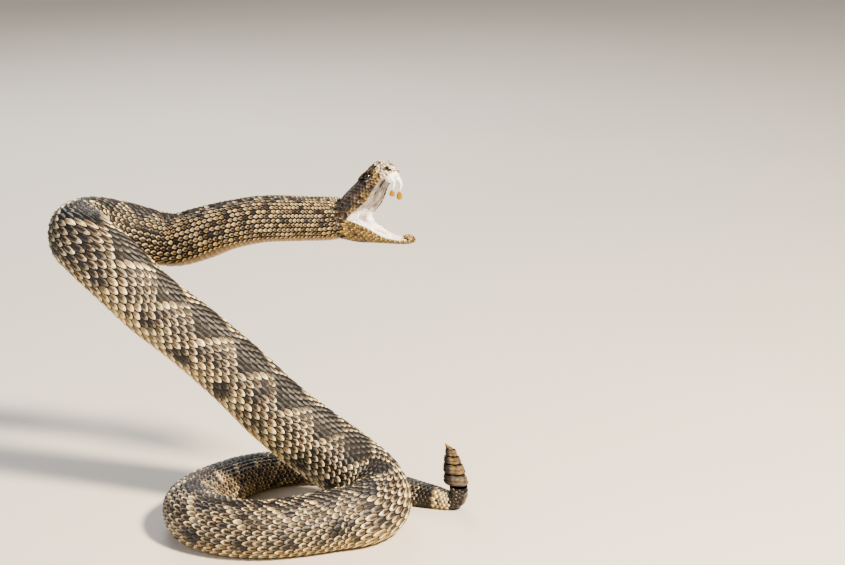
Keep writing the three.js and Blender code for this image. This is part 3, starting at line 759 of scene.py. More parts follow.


# Markings of the head: brown-grey crown, a dark stripe behind the eye edged with tan, pale snout and lips,
# the snout's front pale partly as painted highlight, and painted shade in the nostril
def headMarks(spots, chin=False):
    x, y, z = headIn(spots).T
    side = np.abs(y)
    noseX, _, noseZ = headForm["nostril"]
    freckle = np.array([smoothNoise(Vector(p) * 0.42) for p in headIn(spots)])
    dark = 0.46 + 0.62 * freckle
    stripe = np.abs(z - (9.4 - (33 - x) * 0.2)) / 2.6
    band = (1 - smoothstep(stripe + 1.1 * freckle, 0.7, 1.3)) * smoothstep(side, 7.5, 9) * smoothstep(x, 3, 7)
    band *= 1 - smoothstep(x, 35, 37)
    edge = (1 - smoothstep(np.abs(stripe - 1.5), 0.2, 0.5)) * smoothstep(side, 7, 8.5) * smoothstep(x, 4, 9)
    dark = np.maximum(dark * (1 - 0.8 * smoothstep(x, 37, 42)), band * 0.74)
    top = smoothstep(z, 8.6, 11) * (1 - smoothstep(x, 44.5, 47))
    # pale snout front: partly the plates' own pale colour, partly painted highlight where light falls on it
    snout = smoothstep(x, 38.5, 43.5) * (1 - 0.85 * top)
    dark = np.maximum(dark, top * smoothstep(x, 37, 40) * (0.6 + 0.9 * freckle))
    cheek = smoothstep(x, 33.5, 36) * (1 - smoothstep(x, 40.5, 43)) * (1 - smoothstep(z, 9, 11))
    dark = dark * (1 - 0.65 * cheek)
    # the nostril's skin is painted dark as shade in its hollow
    nose = (np.hypot((x - noseX) / 1.3, (z - noseZ) / 2.1) < 1) & (side > 3.6)
    dark = np.where(nose, 0.95, dark)
    border = 0.3 * edge * (1 - band) * (0.5 + freckle) + (0.78 + 0.5 * freckle) * snout * (1 - nose)
    border = np.clip(border, 0, 1)
    belly = np.clip(0.35 + 0.4 * smoothstep(-z, -5, 2) + 0.5 * cheek, 0, 1)
    if chin:
        dark = 0.12 + 0.4 * np.clip(freckle, 0, 1) * (1 - smoothstep(jawIn(spots)[:, 0], 10, 30))
        border, belly = np.full(len(x), 0.05), np.ones(len(x))
    return np.stack([np.clip(dark, 0, 1), border, belly], axis=-1)


def byNostril(spots):
    x, y, z = headIn(spots).T
    noseX, _, noseZ = headForm["nostril"]
    return (np.hypot((x - noseX) / 1.7, (z - noseZ) / 2.5) < 1) & (np.abs(y) > 3.6)


# Large plates of one side: x, y, z in the head's frame, then length and breadth
headPlateForm = {
    "crown": ((38.9, 7.4, 13.6, 3.6, 2.7), (41.9, 6.5, 13.2, 3.2, 2.5), (44.6, 4.3, 12.6, 2.9, 2.6),
              (44.4, 1.5, 13.1, 2.8, 2.5), (46.6, 2.3, 10.9, 2.5, 2.5)),
    "cheek": ((48.1, 4.1, 5.0, 2.0, 3.6), (44.3, 7.9, 5.2, 2.4, 3.8), (46.1, 5.9, 8.2, 3.2, 2.4),
              (41.6, 8.7, 7.4, 3.0, 2.4), (38.8, 9.4, 8.0, 2.8, 2.0), (37.2, 10.0, 6.4, 2.0, 2.6),
              (39.4, 9.4, 3.5, 3.6, 2.0)),
    "brow": (32.6, 8.7, 14.2, 7.6, 4.4),
    "rostral": (48.2, 0, 5.6, 5.2, 4.6),
    "chin": ((43.9, 1.4), (43.9, -1.4), (41.3, 2.3), (41.3, -2.3), (41.0, 0)),
}
rearward = -headTurned[0]


# Lip plates along one side of a jaw, from the corner of the mouth forward
def addLips(place, x, long, wide, marks):
    spots, ahead = place(x), place(x + 1)
    marks = np.stack(np.broadcast_arrays(*marks), axis=-1)
    addPlates(spots, unit(spots - ahead), long, wide, marks, 0, 0.1, 0.5)


def upperLip(x, side):
    share = x / layout["headLength"]
    return headOut(np.stack([x, side * (form["half"](share) + 0.3), form["lip"](share) + 1.5], axis=-1))


def lowerLip(x, side):
    share = x / layout["jawLength"]
    return jawOut(np.stack([x, side * (form["jawHalf"](share) - 0.1), form["jawLip"](share) - 1.2], axis=-1))


for side in (-1, 1):
    x, y, z, long, wide = headPlateForm["brow"]
    browBack = rearward + side * 0.12 * headTurned[1]
    addPlates(headOut([(x, side * y, z)]), browBack, long, wide, (0.42, 0.12, 0.3), 0, 0.02, 0.6)
    for group, keel, lift, squareness in (("crown", 0.05, 0.1, 0.3), ("cheek", 0, 0.08, 0.4)):
        for x, y, z, long, wide in headPlateForm[group]:
            place = headOut([(x, side * y, z)])
            addPlates(place, rearward, long, wide, headMarks(place), keel, lift, squareness)
    lipX = np.concatenate([np.arange(3.5, 34, 3.05), [36.6, 39.2, 41.7, 44.0, 46.0]])
    lipLong = np.append(np.full(11, 3.7), [3.3, 3.2, 3.0, 2.8, 2.4])[:len(lipX)]
    spotted = np.arange(len(lipX)) % 4 == 1
    # the front upper lip plates turn pale, partly as painted highlight on the snout's front
    addLips(lambda x: upperLip(x, side), lipX, lipLong, 3.3,
            (0.16 + 0.5 * spotted, 0.05 + 0.8 * smoothstep(lipX, 37, 44), 0.55))
    lipX = np.arange(3.0, 43.5, 3.0)
    spotted = np.arange(len(lipX)) % 3 == 1
    addLips(lambda x: lowerLip(x, side), lipX, 3.6, 2.9, (0.04 + 0.2 * spotted, 0.12, 1.0))
    chinPlace, chinBack = fromSheet(chinSheet, np.array([36.5]), np.array([side * 2.3]))
    addPlates(chinPlace, chinBack, 10.5, 3.8, (0.03, 0.5, 0.8), 0, 0.1, 0.3)
    # the ring of small scales round the eye, dark in front of and behind it as painted shade of the socket,
    # pale below
    around = np.radians(np.arange(150, 400, 29.0))
    ringPlaces = headOut(np.stack([33 + 3.9 * np.cos(around), side * (10.6 - 0.9 * np.sin(around) ** 2),
                                   10.3 + 3.0 * np.sin(around)], axis=-1))
    inward = headOut(np.stack([33 + 2.5 * np.cos(around), np.full(len(around), side * 10.6),
                               10.2 + 2 * np.sin(around)], axis=-1))
    ringMarksAndShade = np.stack([np.where(np.abs(np.sin(around)) < 0.6, 0.9, 0.35), 0.55 * (np.sin(around) < -0.6),
                          np.full(len(around), 0.3)], axis=-1)
    addPlates(ringPlaces, unit(inward - ringPlaces), 2.5, 2.3, ringMarksAndShade, 0, 0.35, 0.2)
# rostral plate: pale, partly painted highlight on the snout's front
x, y, z, long, wide = headPlateForm["rostral"]
addPlates(headOut([(x, y, z)]), -headTurned[2][None], long, wide, (0.0, 0.95, 0.4), 0, 0.1, 0.5)
# small plates fill the front of the snout between them, pale partly in their own colour and partly as painted
# highlight on the snout's front
for row, z in enumerate(np.arange(1.2, 13.4, 1.75)):
    for y in (np.arange(-4, 4.5) + 0.5 * (row % 2)) * 2.05:
        hit = skinTree.ray_cast(Vector(headOut([(54, y, z)])[0]), Vector(rearward), 13)[0]
        if hit is not None and clearOfPlates(np.array([tuple(hit)]), 0.75)[0] and not byNostril(hit):
            outward = y * headTurned[1] + (z - 5.6) * headTurned[2] - 2 * headTurned[0]
            luck = 0.1 * abs(rng.standard_normal())
            addPlates(np.array([tuple(hit)]), outward[None], 2.5, 2.3, (luck, 0.95 - luck, 0.2), 0, 0.05, 0.3)
mental = jawOut([(45.6, 0, -1.6)])
addPlates(mental, (jawOut([(44.6, 0, -1.9)]) - mental), 3.4, 5.0, (0.0, 0.1, 1.0), 0, 0.25, 0.4)
for x, y in headPlateForm["chin"]:
    place = jawOut([(x, y, 1.4)])
    addPlates(place, jawOut([(x - 1, y, 1.2)]) - place, 2.9, 2.7, (0.0, 0.25, 1.0), 0, 0.1, 0.4)


# Small scales over the crown and cheeks, then over the chin, where no plate lies yet
def coverSheet(sheet, xRange, pitch, rowPitch, margin, chin):
    stops = [xRange[0]]
    while stops[-1] < xRange[1]:
        stops.append(stops[-1] + pitch(stops[-1]) / 2)
    xs, arcs = [], []
    for i, x in enumerate(stops):
        half = np.interp(x, sheet[0], sheet[2]) - margin
        rows = np.arange(-40, 41)
        rows = rows[(rows + i) % 2 == 0]
        arc = rows * rowPitch(x)
        arc = arc[np.abs(arc) < half]
        xs.append(np.full(len(arc), x))
        arcs.append(arc)
    x, arc = np.concatenate(xs), np.concatenate(arcs)
    x = x + 0.12 * rng.standard_normal(len(x))
    arc = arc + 0.08 * rng.standard_normal(len(x))
    place, back = fromSheet(sheet, x, arc)
    eyeGap = headIn(place) * np.array([1, 0, 1]) - np.array([33.0, 0, 10.4])
    keep = (np.hypot(eyeGap[:, 0], eyeGap[:, 2]) > 3.7) | (np.abs(headIn(place)[:, 1]) < 6.4)
    if chin:
        keep = np.ones(len(x), bool)
    keep &= clearOfPlates(place) & ~byNostril(place)
    x, place, back = x[keep], place[keep], back[keep]
    long, wide, keel = (1.42, 1.14, 0.06) if chin else (1.42, 1.44, 0.28)
    luck = headMarks(place, chin) + 0.12 * rng.standard_normal((len(x), 3)) * (1, 0.4, 0.4)
    addPlates(place, back, pitch(x) * long, rowPitch(x) * wide, np.clip(luck, 0, 1), keel)


coverSheet(crownSheet, (-3, 46.4), profile([(-4, 3.3), (12, 3.0), (26, 2.5), (38, 2.1), (47, 2.0)]),
           profile([(-4, 2.5), (12, 2.3), (26, 2.0), (38, 1.75), (47, 1.6)]), 2.9, False)
coverSheet(chinSheet, (0, 43), profile([(-9, 3.8), (20, 3.3), (44, 2.6)]),
           profile([(-9, 2.5), (20, 2.2), (44, 1.8)]), 2.2, True)


# Places of the skin, in order of how far they lie from any plate, each get a small scale until none is bare
def fillBare(spots, chin, limit=1.25, size=2.6):
    data = [np.concatenate(headPlates[key]) for key in ("place", "back", "long", "wide")]
    nearest = np.full(len(spots), 9.0)

    def cover(place, back, long, wide):
        away = spots - place
        along = away @ unit(back)
        aside = np.sqrt(np.maximum((away ** 2).sum(axis=1) - along ** 2, 0))
        np.minimum(nearest, np.hypot(along / (long / 2), aside / (wide / 2)), out=nearest)
    for plate in zip(*data):
        cover(*plate)
    added = 0
    while nearest.max() > limit:
        place = spots[nearest.argmax()]
        x, y, z = headIn(place)
        back = (jawOut([0, 0, 0]) - jawOut([1, 0, 0])) if chin else rearward
        back = back + (0.07 * y * headTurned[1] + 0.07 * (z - 5) * headTurned[2]) * (x > 40)
        addPlates(place[None], back[None], size, size * 0.92, headMarks(place[None], chin), 0.05, 0.0, 0.2)
        cover(place, back, size, size * 0.92)
        added += 1
    print("bare places covered:", added)


x, y, z = local.T
lipLine = form["lip"](x / layout["headLength"])
outer = (x > 4) & (z > lipLine + 1.6) & (localNormals[:, 2] > -0.6)
outer &= (np.hypot(x - 33, z - 10) > 4.2) | (np.abs(y) < 6)
fillBare(skinPoints[outer & ~byNostril(skinPoints)], False)
jx, jy, jz = jawIn(skinPoints).T
outer = (jx > 4) & (jz < form["jawLip"](jx / layout["jawLength"]) - 1.2) & (z < -2)
outer = (outer | ((jx > 39.5) & (z < -6))) & (jx < 47)
fillBare(skinPoints[outer], True)


# Relief of a head plate 5 mm long, mm, and how far all plates stand on the skin
headRelief = {"root": -0.34, "rise": 0.56, "camber": 0.26, "edge": 0.42, "stand": 0.24}


def buildHeadPlates(name, material):
    data = {key: np.concatenate(value) for key, value in headPlates.items()}
    count = len(data["place"])
    u, v = plateGrid
    middle, facing = snapped(data["place"], skinTree)
    back = unit(data["back"] - facing * (data["back"] * facing).sum(-1, keepdims=True))
    across = np.cross(facing, back)
    square = np.interp(plateU, [0, 0.05, 0.92, 0.975, 1], [0.9, 1, 1, 0.85, 0.6])
    outline = leafHalf[None] * (1 - data["round"][:, None]) + square[None] * data["round"][:, None]
    long, wide = data["long"][:, None, None], data["wide"][:, None, None]
    flat = (middle[:, None, None] + back[:, None, None] * ((u - 0.5)[None] * long)[..., None]
            + across[:, None, None] * ((outline[:, :, None] * v[None] / 2) * wide)[..., None])
    base, normal = snapped(flat, skinTree)
    # long plates are laid on straight, so that none slides round an edge of the head
    for i in np.nonzero(data["long"] > 4.5)[0]:
        for j in np.ndindex(flat.shape[1:3]):
            hit, way, _, _ = skinTree.ray_cast(Vector(flat[i][j] + facing[i] * 2.5), Vector(-facing[i]), 4.5)
            if hit is not None:
                base[i][j], normal[i][j] = hit, way
    normal = unit(normal + facing[:, None, None] * 0.6)
    size = np.clip(data["long"] / 5.0, 0.42, 0.8)[:, None, None]
    height = headRelief["root"] + headRelief["rise"] * smoothstep(u, -0.25, 0.85)
    height = height - headRelief["camber"] * v ** 2
    height = height[None] + data["keel"][:, None, None] * np.exp(-(v / 0.18) ** 2) * smoothstep(u, 0.1, 0.4)
    height = height * size + data["lift"][:, None, None]
    turnedDown(height, headRelief["edge"])
    point = base + normal * (height + headRelief["stand"])[..., None]
    tone = np.clip(0.5 + 0.24 * rng.standard_normal(count), 0, 1)
    marks = np.repeat(data["marks"][:, None], u.size, axis=1)
    x, y, z = headIn(data["place"]).T
    along, turn = np.clip((x + 12) / 64, 0.02, 0.98), 0.5 + np.arctan2(y, z - 3) / 6.6
    return buildPlates(name, point, plateFaces, material, marks, tone, plateGrid,
                       (along[:, None, None], turn[:, None, None]), (0.003, 0.0015))


# Mouth: palate, floor and the stretched skin that joins the jaws, all one wet surface
mouthForm = {
    "cheekHalf": 12.4,
    "edge": (21.5, 12.2, 19.5),       # the membrane's free edge: distance from the hinge up, midway and down
    "throat": (15, 6.8, 13),
    "sheath": (43.1, 4.6, -0.4), "sheathRadii": (3.2, 2.5, 4.1),
    "fold": 0.5,
    "fangRoot": (43.2, 4.6, -1.0), "fangKnee": (45.4, 4.5, -6.4), "fangTip": (38.8, 4.3, -9.0),
    "fangRadius": 1.45,
    "nearLift": 1.45,          # the right fang is a little less erect than the left
}


def mouthParts():
    rings = []
    for x in np.linspace(-3, 44.5, 40):
        share = x / layout["headLength"]
        half, lip, rise = form["half"](share) - 1.25, form["lip"](share), form["palate"](share)
        # the roof arches, with a groove on either side and a ridge along the middle
        y = np.linspace(-half, half, 41)
        arch = lip + 0.6 + (rise - 1.0) * (1 - (y / half) ** 2)
        arch -= 0.9 * np.exp(-((np.abs(y) - 0.3 * half) / 1.2) ** 2) * smoothstep(x, 2, 8)
        arch += 0.5 * np.exp(-(y / 0.9) ** 2)
        lower = np.stack([np.full(41, x), y, arch], axis=-1)
        rings.append(headOut(np.concatenate([lower, (lower + (0, 0, 1.7))[::-1]])))
    parts = [ringLoft(rings)]
    rings = []
    for x in np.linspace(-3, 41.2, 40):
        share = x / layout["jawLength"]
        half, lip, floor = form["jawHalf"](share) - 1.5, form["jawLip"](share), -form["jawFloor"](share)
        # the floor rises to the lips, with a fold along each side and a broad ridge under the windpipe
        y = np.linspace(-half, half, 41)
        bed = floor + 0.6 + (lip - 0.6 - floor) * np.abs(y / half) ** 2.6
        bed += 0.45 * np.exp(-((np.abs(y) - 0.62 * half) / 1.0) ** 2)
        bed += 1.2 * np.exp(-(y / 1.9) ** 4) * smoothstep(x, 8, 18) * (1 - smoothstep(x, 26, 30))
        upper = np.stack([np.full(41, x), y, bed], axis=-1)
        rings.append(jawOut(np.concatenate([upper, (upper - (0, 0, 1.5))[::-1]])))
    parts.append(ringLoft(rings))
    # the skin of the cheeks and throat, swept about the hinge from the upper jaw to the lower
    hinge = headOut(np.zeros(3))
    ahead, aheadJaw = headOut([1.0, 0, 0]) - hinge, jawOut([1.0, 0, 0]) - hinge
    left, leftJaw = headOut([0, 1.0, 0]) - hinge, jawOut([0, 1.0, 0]) - hinge
    gape = math.acos(float(ahead @ aheadJaw))
    share = np.linspace(-0.07, 1.26, 34)
    nearHead, nearJaw = np.sin((1 - share) * gape)[:, None], np.sin(share * gape)[:, None]
    way = (nearHead * ahead + nearJaw * aheadJaw) / math.sin(gape)
    across = unit(left + (leftJaw - left) * share[:, None])
    bend = np.abs(2 * np.clip(share, 0, 1) - 1) ** 2.0
    edge, throat = (middle + (np.where(share < 0.5, above, below) - middle) * bend
                    for above, middle, below in (mouthForm["edge"], mouthForm["throat"]))
    rings = []
    for y in np.linspace(-mouthForm["cheekHalf"], mouthForm["cheekHalf"], 49):
        aside = abs(y) / mouthForm["cheekHalf"]
        far = throat + (edge - throat) * aside ** 2.4
        far = far * (1 - 0.12 * smoothstep(aside, 0.93, 1.0))
        front = hinge + way * far[:, None] + across * y
        root = hinge - 0.5 * (ahead + aheadJaw) + across.mean(axis=0) * y
        rings.append(np.concatenate([front, root[None]]))
    parts.append(ringLoft(rings))
    for side in (-1, 1):
        x, y, z = mouthForm["sheath"]
        for centre, radii in (((x, side * y, z), mouthForm["sheathRadii"]),
                              ((x + 0.5, side * y, z - 3.4), (1.7, 1.6, 2.1)),
                              ((x + 1.6, side * (y - 2.0), z + 1.4), (2.6, 2.6, 2.4))):
            points, faces = ellipsoid(centre, radii)
            parts.append((headOut(points), faces))
    points, faces = ellipsoid((27.5, 0, -2.5), (3.2, 1.8, 1.5))     # the windpipe's opening
    parts.append((jawOut(points), faces))
    return parts


def buildMouth(material):
    points, quads = fused(mouthParts(), 0.4, 5)
    normals = vertexNormals(points, quads)
    x, y, z = headIn(points).T
    jx, jy, jz = jawIn(points).T
    reachOut = np.hypot(x, z)
    gape = math.radians(layout["headTurn"][1] - layout["jawTurn"][1])
    share = np.clip(np.arctan2(-z, x) / gape, 0, 1)     # from the upper jaw to the lower
    upper = (1 - smoothstep(share, 0.16, 0.34)) * smoothstep(x, 8, 16)
    sheath = smoothstep(x, 38.5, 40.5)
    lengthwise = np.array([smoothNoise(Vector((a * 0.16, b * 1.15, c * 0.5))) for a, b, c in zip(x, y, z)])
    rumple = np.array([smoothNoise(Vector((a * 0.5, b * 0.5, c * 0.5 + 7))) for a, b, c in zip(x, y, z)])
    calm = 1 - 0.7 * smoothstep(share, 0.7, 0.95) * smoothstep(jx, 8, 16)
    folds = lengthwise * (1 - sheath) * (1 + 0.7 * upper) + (0.35 + 0.6 * upper) * rumple
    folds = mouthForm["fold"] * calm * folds
    points = points + normals * folds[:, None]
    # the windpipe's slit, then the shares of painted shade on the palate, deep in the mouth and in the
    # creases that colour the lining
    slit = np.exp(-(jy / 0.5) ** 2) * np.exp(-((jx - 28.4) / 2.0) ** 2) * (jz > -2.4)
    points -= normals * (0.9 * slit)[:, None]
    # painted shade greying the palate
    palateShade = np.clip(upper * (1 - sheath) * (0.8 + 0.5 * lengthwise), 0, 1)
    # painted shade deep in the mouth by the hinge and in the windpipe's slit
    deep = np.clip((1 - smoothstep(reachOut, 4, 12)) * (np.abs(y) < 9) + slit, 0, 1)
    # painted shade in the valleys of the lining's folds
    creaseShade = np.clip(0.3 - 2.8 * lengthwise, 0, 1) * (1 - sheath) * (0.3 + 0.7 * upper)
    jawShare = np.abs(jy) / form["jawHalf"](np.clip(jx, 0, 44) / layout["jawLength"])
    # painted shade along the fold beside the gums of the lower jaw
    gumFoldShade = np.exp(-((jawShare - 0.5) / 0.05) ** 2)
    creaseShade = np.maximum(creaseShade, 0.8 * gumFoldShade * smoothstep(share, 0.75, 0.95) * smoothstep(jx, 12, 20))
    marks = np.stack([palateShade, deep, creaseShade], axis=-1)
    return buildMesh("mouthLining", points, quads, material, marks={"marks": marks})


# Fangs: long curved teeth, round in section and thinning to the tip
def buildFang(name, side, material):
    lift = mouthForm["nearLift"] * (side < 0)
    root, knee, tip = (np.array(mouthForm[key]) * (1, side, 1) + (0, 0, lift * share)
                       for key, share in (("fangRoot", 0.4), ("fangKnee", 0.7), ("fangTip", 1)))
    t = np.linspace(0, 1, 28)[:, None]
    line = root * (1 - t) ** 2 + 2 * knee * t * (1 - t) + tip * t ** 2
    down = unit(np.gradient(line, axis=0))
    across = np.array([0, 1.0, 0])
    fore = unit(np.cross(np.broadcast_to(across, down.shape), down))
    turn = np.arange(20) * math.pi / 10
    radius = mouthForm["fangRadius"] * (1 - 0.9 * t ** 2.2)
    rings = (line[:, None] + (radius * np.cos(turn)[None])[..., None] * across
             + (radius * np.sin(turn)[None])[..., None] * fore[:, None])
    points, faces = ringLoft(rings)
    along = np.concatenate([np.repeat(t[:, 0], 20), [0, 1]])
    return buildSolid(name, headOut(points), faces, material, {"form": np.repeat(along[:, None], 3, axis=1)})


# Venom: a bead that hangs from each fang's tip
def buildDrop(name, side, radius, length, material):
    x, y, z = mouthForm["fangTip"]
    tip = headOut([x, side * y, z + mouthForm["nearLift"] * (side < 0)])
    t = np.linspace(0.02, 0.995, 30)
    wide = np.sin(np.pi * t) * (0.3 + 0.7 * t ** 1.2)
    wide *= radius / wide.max()
    turn = np.arange(28) * 2 * math.pi / 28
    fall = tip[2] + 0.35 - length * (1 - np.cos(np.pi * t)) / 2
    rings = np.stack([tip[0] + wide[:, None] * np.cos(turn), tip[1] + wide[:, None] * np.sin(turn),
                      np.broadcast_to(fall[:, None], (30, 28))], axis=-1)
    return buildSolid(name, *ringLoft(rings), material)


# Eyes: a ball under a clear fixed scale, its pupil an upright slit
def buildEye(name, side, material):
    x, y, z = headForm["eye"]
    points, faces = ellipsoid((0, 0, 0), (1, 1, 1), rings=44, sides=64)
    look = unit(np.array([0.12, side * 1.0, 0.06]))
    foot = unit(np.array([1.0, -side * 0.12, 0.0]))
    top = np.cross(look, foot) * (1 if np.cross(look, foot)[2] > 0 else -1)
    a, b, c = points @ foot, points @ top, points @ look
    pupil = (1 - smoothstep(np.hypot(a / 0.15, b / 0.62), 0.85, 1.1)) * (c > 0)
    rim = smoothstep(np.hypot(a, b), 0.66, 0.82)
    speck = np.array([smoothNoise(Vector(p) * 5.5) for p in points])
    marks = np.stack([pupil, rim, np.clip(0.5 + speck, 0, 1)], axis=-1)
    spots = headOut(points * headForm["eyeRadius"] + np.array([x, side * y, z]))
    return buildSolid(name, spots, faces, material, {"marks": marks})


# Rattle: horny segments threaded on one another, the oldest one broken to a point
rattleForm = {
    "lean": 0.245,
    "segments": ((17.6, 12, 8.8), (15.8, 11.2, 7.6), (12.4, 9.6, 5.6), (8.6, 7.2, 5.0)),   # wide, deep, high
    "spike": 3.8, "spikeAside": -3.0, "gap": 0.15, "aside": -1.8,
}


def buildRattle(material):
    sides = 72
    turn = np.arange(sides) * 2 * math.pi / sides
    groove = 1 - 0.2 * np.abs(np.sin(turn)) ** 10 - 0.015 * np.cos(turn * 6) ** 2
    outline = profile([(0, 0.56), (0.05, 0.77), (0.13, 0.95), (0.22, 0.99), (0.34, 0.985), (0.44, 0.91),
                       (0.52, 0.935), (0.66, 0.93), (0.78, 0.86), (0.84, 0.84), (0.89, 0.86), (0.94, 0.75),
                       (1.0, 0.52)])
    rings, shade, height = [], [], 0.0
    for number, (wide, deep, high) in enumerate(rattleForm["segments"]):
        for part in np.linspace(0, 0.985, 22):
            z = height + part * high
            size = float(outline(part))
            wave = 1 + 0.012 * np.sin(turn * 3 + number) + 0.01 * np.sin(turn * 7 + 2 * number)
            rings.append(np.stack([wide / 2 * size * np.cos(turn) * wave - rattleForm["lean"] * z,
                                   deep / 2 * size * np.sin(turn) * groove * wave,
                                   z + 0.25 * np.cos(turn * 2) * size], axis=-1))
            shade.append((part, number / 4))
        height += high
    for part in np.linspace(0.12, 1, 9):
        aside = rattleForm["spikeAside"] * part ** 0.8
        size = 1 - part
        z = height + rattleForm["spike"] * part
        rings.append(np.stack([(2.6 * size + 0.25) * np.cos(turn) - rattleForm["lean"] * z + aside,
                               (2.3 * size + 0.2) * np.sin(turn), z + 0 * turn], axis=-1))
        shade.append((1 - part, 1.0))
    points, faces = ringLoft(rings)
    tailWay = Vector(backward[-1])
    turned = np.array(Vector((0, 0, 1)).rotation_difference(tailWay).to_matrix())
    points = points @ turned.T + route[-1] + backward[-1] * rattleForm["gap"] + (rattleForm["aside"], 0, 0)
    values = np.concatenate([np.repeat(np.array(shade), sides, axis=0), [[0, 0], [0, 1]]])
    around = np.concatenate([np.tile(0.5 + 0.5 * np.cos(turn), len(rings)), [0.5, 0.5]])
    return buildSolid("rattleHorn", points, faces, material, {"form": np.column_stack([values, around])})


# Materials
rgba, eased = {"data_type": "RGBA"}, {"interpolation_type": "SMOOTHSTEP"}
rangeInputs = ("Value", "From Min", "From Max", "To Min", "To Max")


# Starts a material: gives its tree, shader, object coordinates and the colour layers that the mesh carries
def newMaterial(name, settings):
    material = bpy.data.materials.new(name)
    material.use_nodes = True
    tree = material.node_tree
    tree.nodes.clear()
    shader = addNode(tree, "ShaderNodeBsdfPrincipled", inputs=settings)
    addNode(tree, "ShaderNodeOutputMaterial", inputs={"Surface": shader})
    place = addNode(tree, "ShaderNodeTexCoord").outputs["Object"]
    channels = []
    for layer in ("marks", "form"):
        values = addNode(tree, "ShaderNodeAttribute", {"attribute_name": layer}).outputs["Color"]
        channels += addNode(tree, "ShaderNodeSeparateColor", inputs={0: values}).outputs
    return material, tree, shader, place, channels


# Lays colours over a base, each where its masks let it show. A mask is a socket, a node, or an eased range:
# value, low, high, share at low, share at high. Relief is a pattern with its strength and depth in mm.
def finishSurface(tree, shader, base, layers, relief=None):
    colour = linear(base)
    for over, *masks in layers:
        share = None
        for mask in masks:
            if isinstance(mask, tuple):
                mask = addNode(tree, "ShaderNodeMapRange", eased, dict(zip(rangeInputs, mask)))
            if share is not None:
                mask = addNode(tree, "ShaderNodeMath", {"operation": "MULTIPLY"}, {0: share, 1: mask})
            share = mask
        over = linear(over) if isinstance(over, str) else over
        colour = addNode(tree, "ShaderNodeMix", rgba, {0: share, 6: colour, 7: over})
    tree.links.new(colour.outputs[2], shader.inputs["Base Color"])
    if relief:
        pattern, strength, depth = relief
        bump = addNode(tree, "ShaderNodeBump", inputs={"Strength": strength, "Distance": depth * mm,
                                                       "Height": pattern})
        tree.links.new(bump.outputs[0], shader.inputs["Normal"])


# Keratin of the body scales, dry and satin: the eye sees dust-coloured plates with pale rims and dark keels.
# The pale tips and side rims are partly the plates' own pale edges and partly painted highlight, and the
# plates' roots and sides carry painted shade
scaleTones = {
    "side": "#a88a68", "sideDeep": "#543d2c", "inside": "#352b2e", "dark": "#07070e", "border": "#fbe8b4",
    "belly": "#cfa557", "tip": "#fff3ca", "streak": "#0c0705", "gap": "#040302", "paleGapShade": "#6d3c15",
    "paleRimAndHighlightShare": 0.92, "streakShare": 1.0, "speckShare": 0.8, "roughness": 0.5,
}


def scaleMaterial(name, tones):
    settings = {"Roughness": tones["roughness"], "IOR": 1.54}
    material, tree, shader, place, channels = newMaterial(name, settings)
    dark, border, belly, along, aside, tone = channels
    # blotches of tone about 12 mm across, dark specks of 1 mm, and a grain of 0.4 mm for the micro relief
    patches, specks, grain = (
        addNode(tree, "ShaderNodeTexNoise", inputs={"Vector": place, "Scale": scale, "Detail": 3.0})
        for scale in (85.0, 1000.0, 2400.0))
    tip, flank, fore, warmed = (
        addNode(tree, "ShaderNodeMapRange", eased, dict(zip(rangeInputs, mask)))
        for mask in ((along, 0.66, 0.86, 0, 1), (aside, 0.6, 0.92, 0, 0.7), (along, 0.36, 0.62, 0, 1),
                     (border, 0.8, 1, 0, 0.8)))
    sides = addNode(tree, "ShaderNodeMath", {"operation": "MULTIPLY"}, {0: flank, 1: fore})
    rim = addNode(tree, "ShaderNodeMath", {"operation": "MAXIMUM"}, {0: tip, 1: sides})
    # gap colour: painted shade, near black, at each scale's root where it tucks under the one before and
    # along its sides; a warmer brown under pale scales
    gap = addNode(tree, "ShaderNodeMix", rgba,
                  {0: warmed, 6: linear(tones["gap"]), 7: linear(tones["paleGapShade"])})
    unbordered = (border, 0.1, 0.95, 1, 0.25)
    finishSurface(tree, shader, tones["sideDeep"], [
        (tones["side"], tone),
        (tones["sideDeep"], (patches, 0.42, 0.66, 0, 0.4)),
        (tones["belly"], (belly, 0, 1, 0, 0.78)),
        (tones["inside"], (dark, 0, 0.5, 0, 1)),
        (tones["dark"], (dark, 0.5, 1, 0, 1)),
        (tones["border"], (border, 0, 1, 0, 0.9), (along, 0.46, 0.78, 0.15, 1)),
        # pale tips and side rims: partly the scales' own pale edges, partly painted highlight where light
        # catches their raised edges
        (tones["tip"], rim, (dark, 0.1, 0.6, tones["paleRimAndHighlightShare"], 0.08), (tone, 0.1, 0.8, 0.35, 1)),
        (tones["streak"], (aside, 0.22, 0.62, 1, 0), (along, 0.62, 0.86, tones["streakShare"], 0),
         unbordered),
        (tones["streak"], (specks, 0.5, 0.62, 0, tones["speckShare"]), unbordered),
        # painted shade along the sides of each scale, then at its root
        (gap.outputs[2], (aside, 0.88, 1, 0, 0.85)),
        (gap.outputs[2], (along, 0.16, 0.36, 1, 0)),
    ], relief=(grain, 0.3, 0.2))
    return material


bodyScaleKeratin = scaleMaterial("keeled body scale keratin", scaleTones)
# The belly's scutes are smoother, from sliding over the ground: plain tan with a satin gleam; their dark
# golden-brown, left showing under the neck, is painted shade with warm reflected light over a pale belly
bellyTonesWithShade = {
    "side": "#8f6c20", "sideDeep": "#6e4e14", "belly": "#84601c", "streak": "#5f4214", "gap": "#2c1808",
    "paleRimAndHighlightShare": 0.25, "streakShare": 0.2, "speckShare": 0.3, "roughness": 0.36,
}
bellyKeratin = scaleMaterial("smooth belly scute keratin", scaleTones | bellyTonesWithShade)
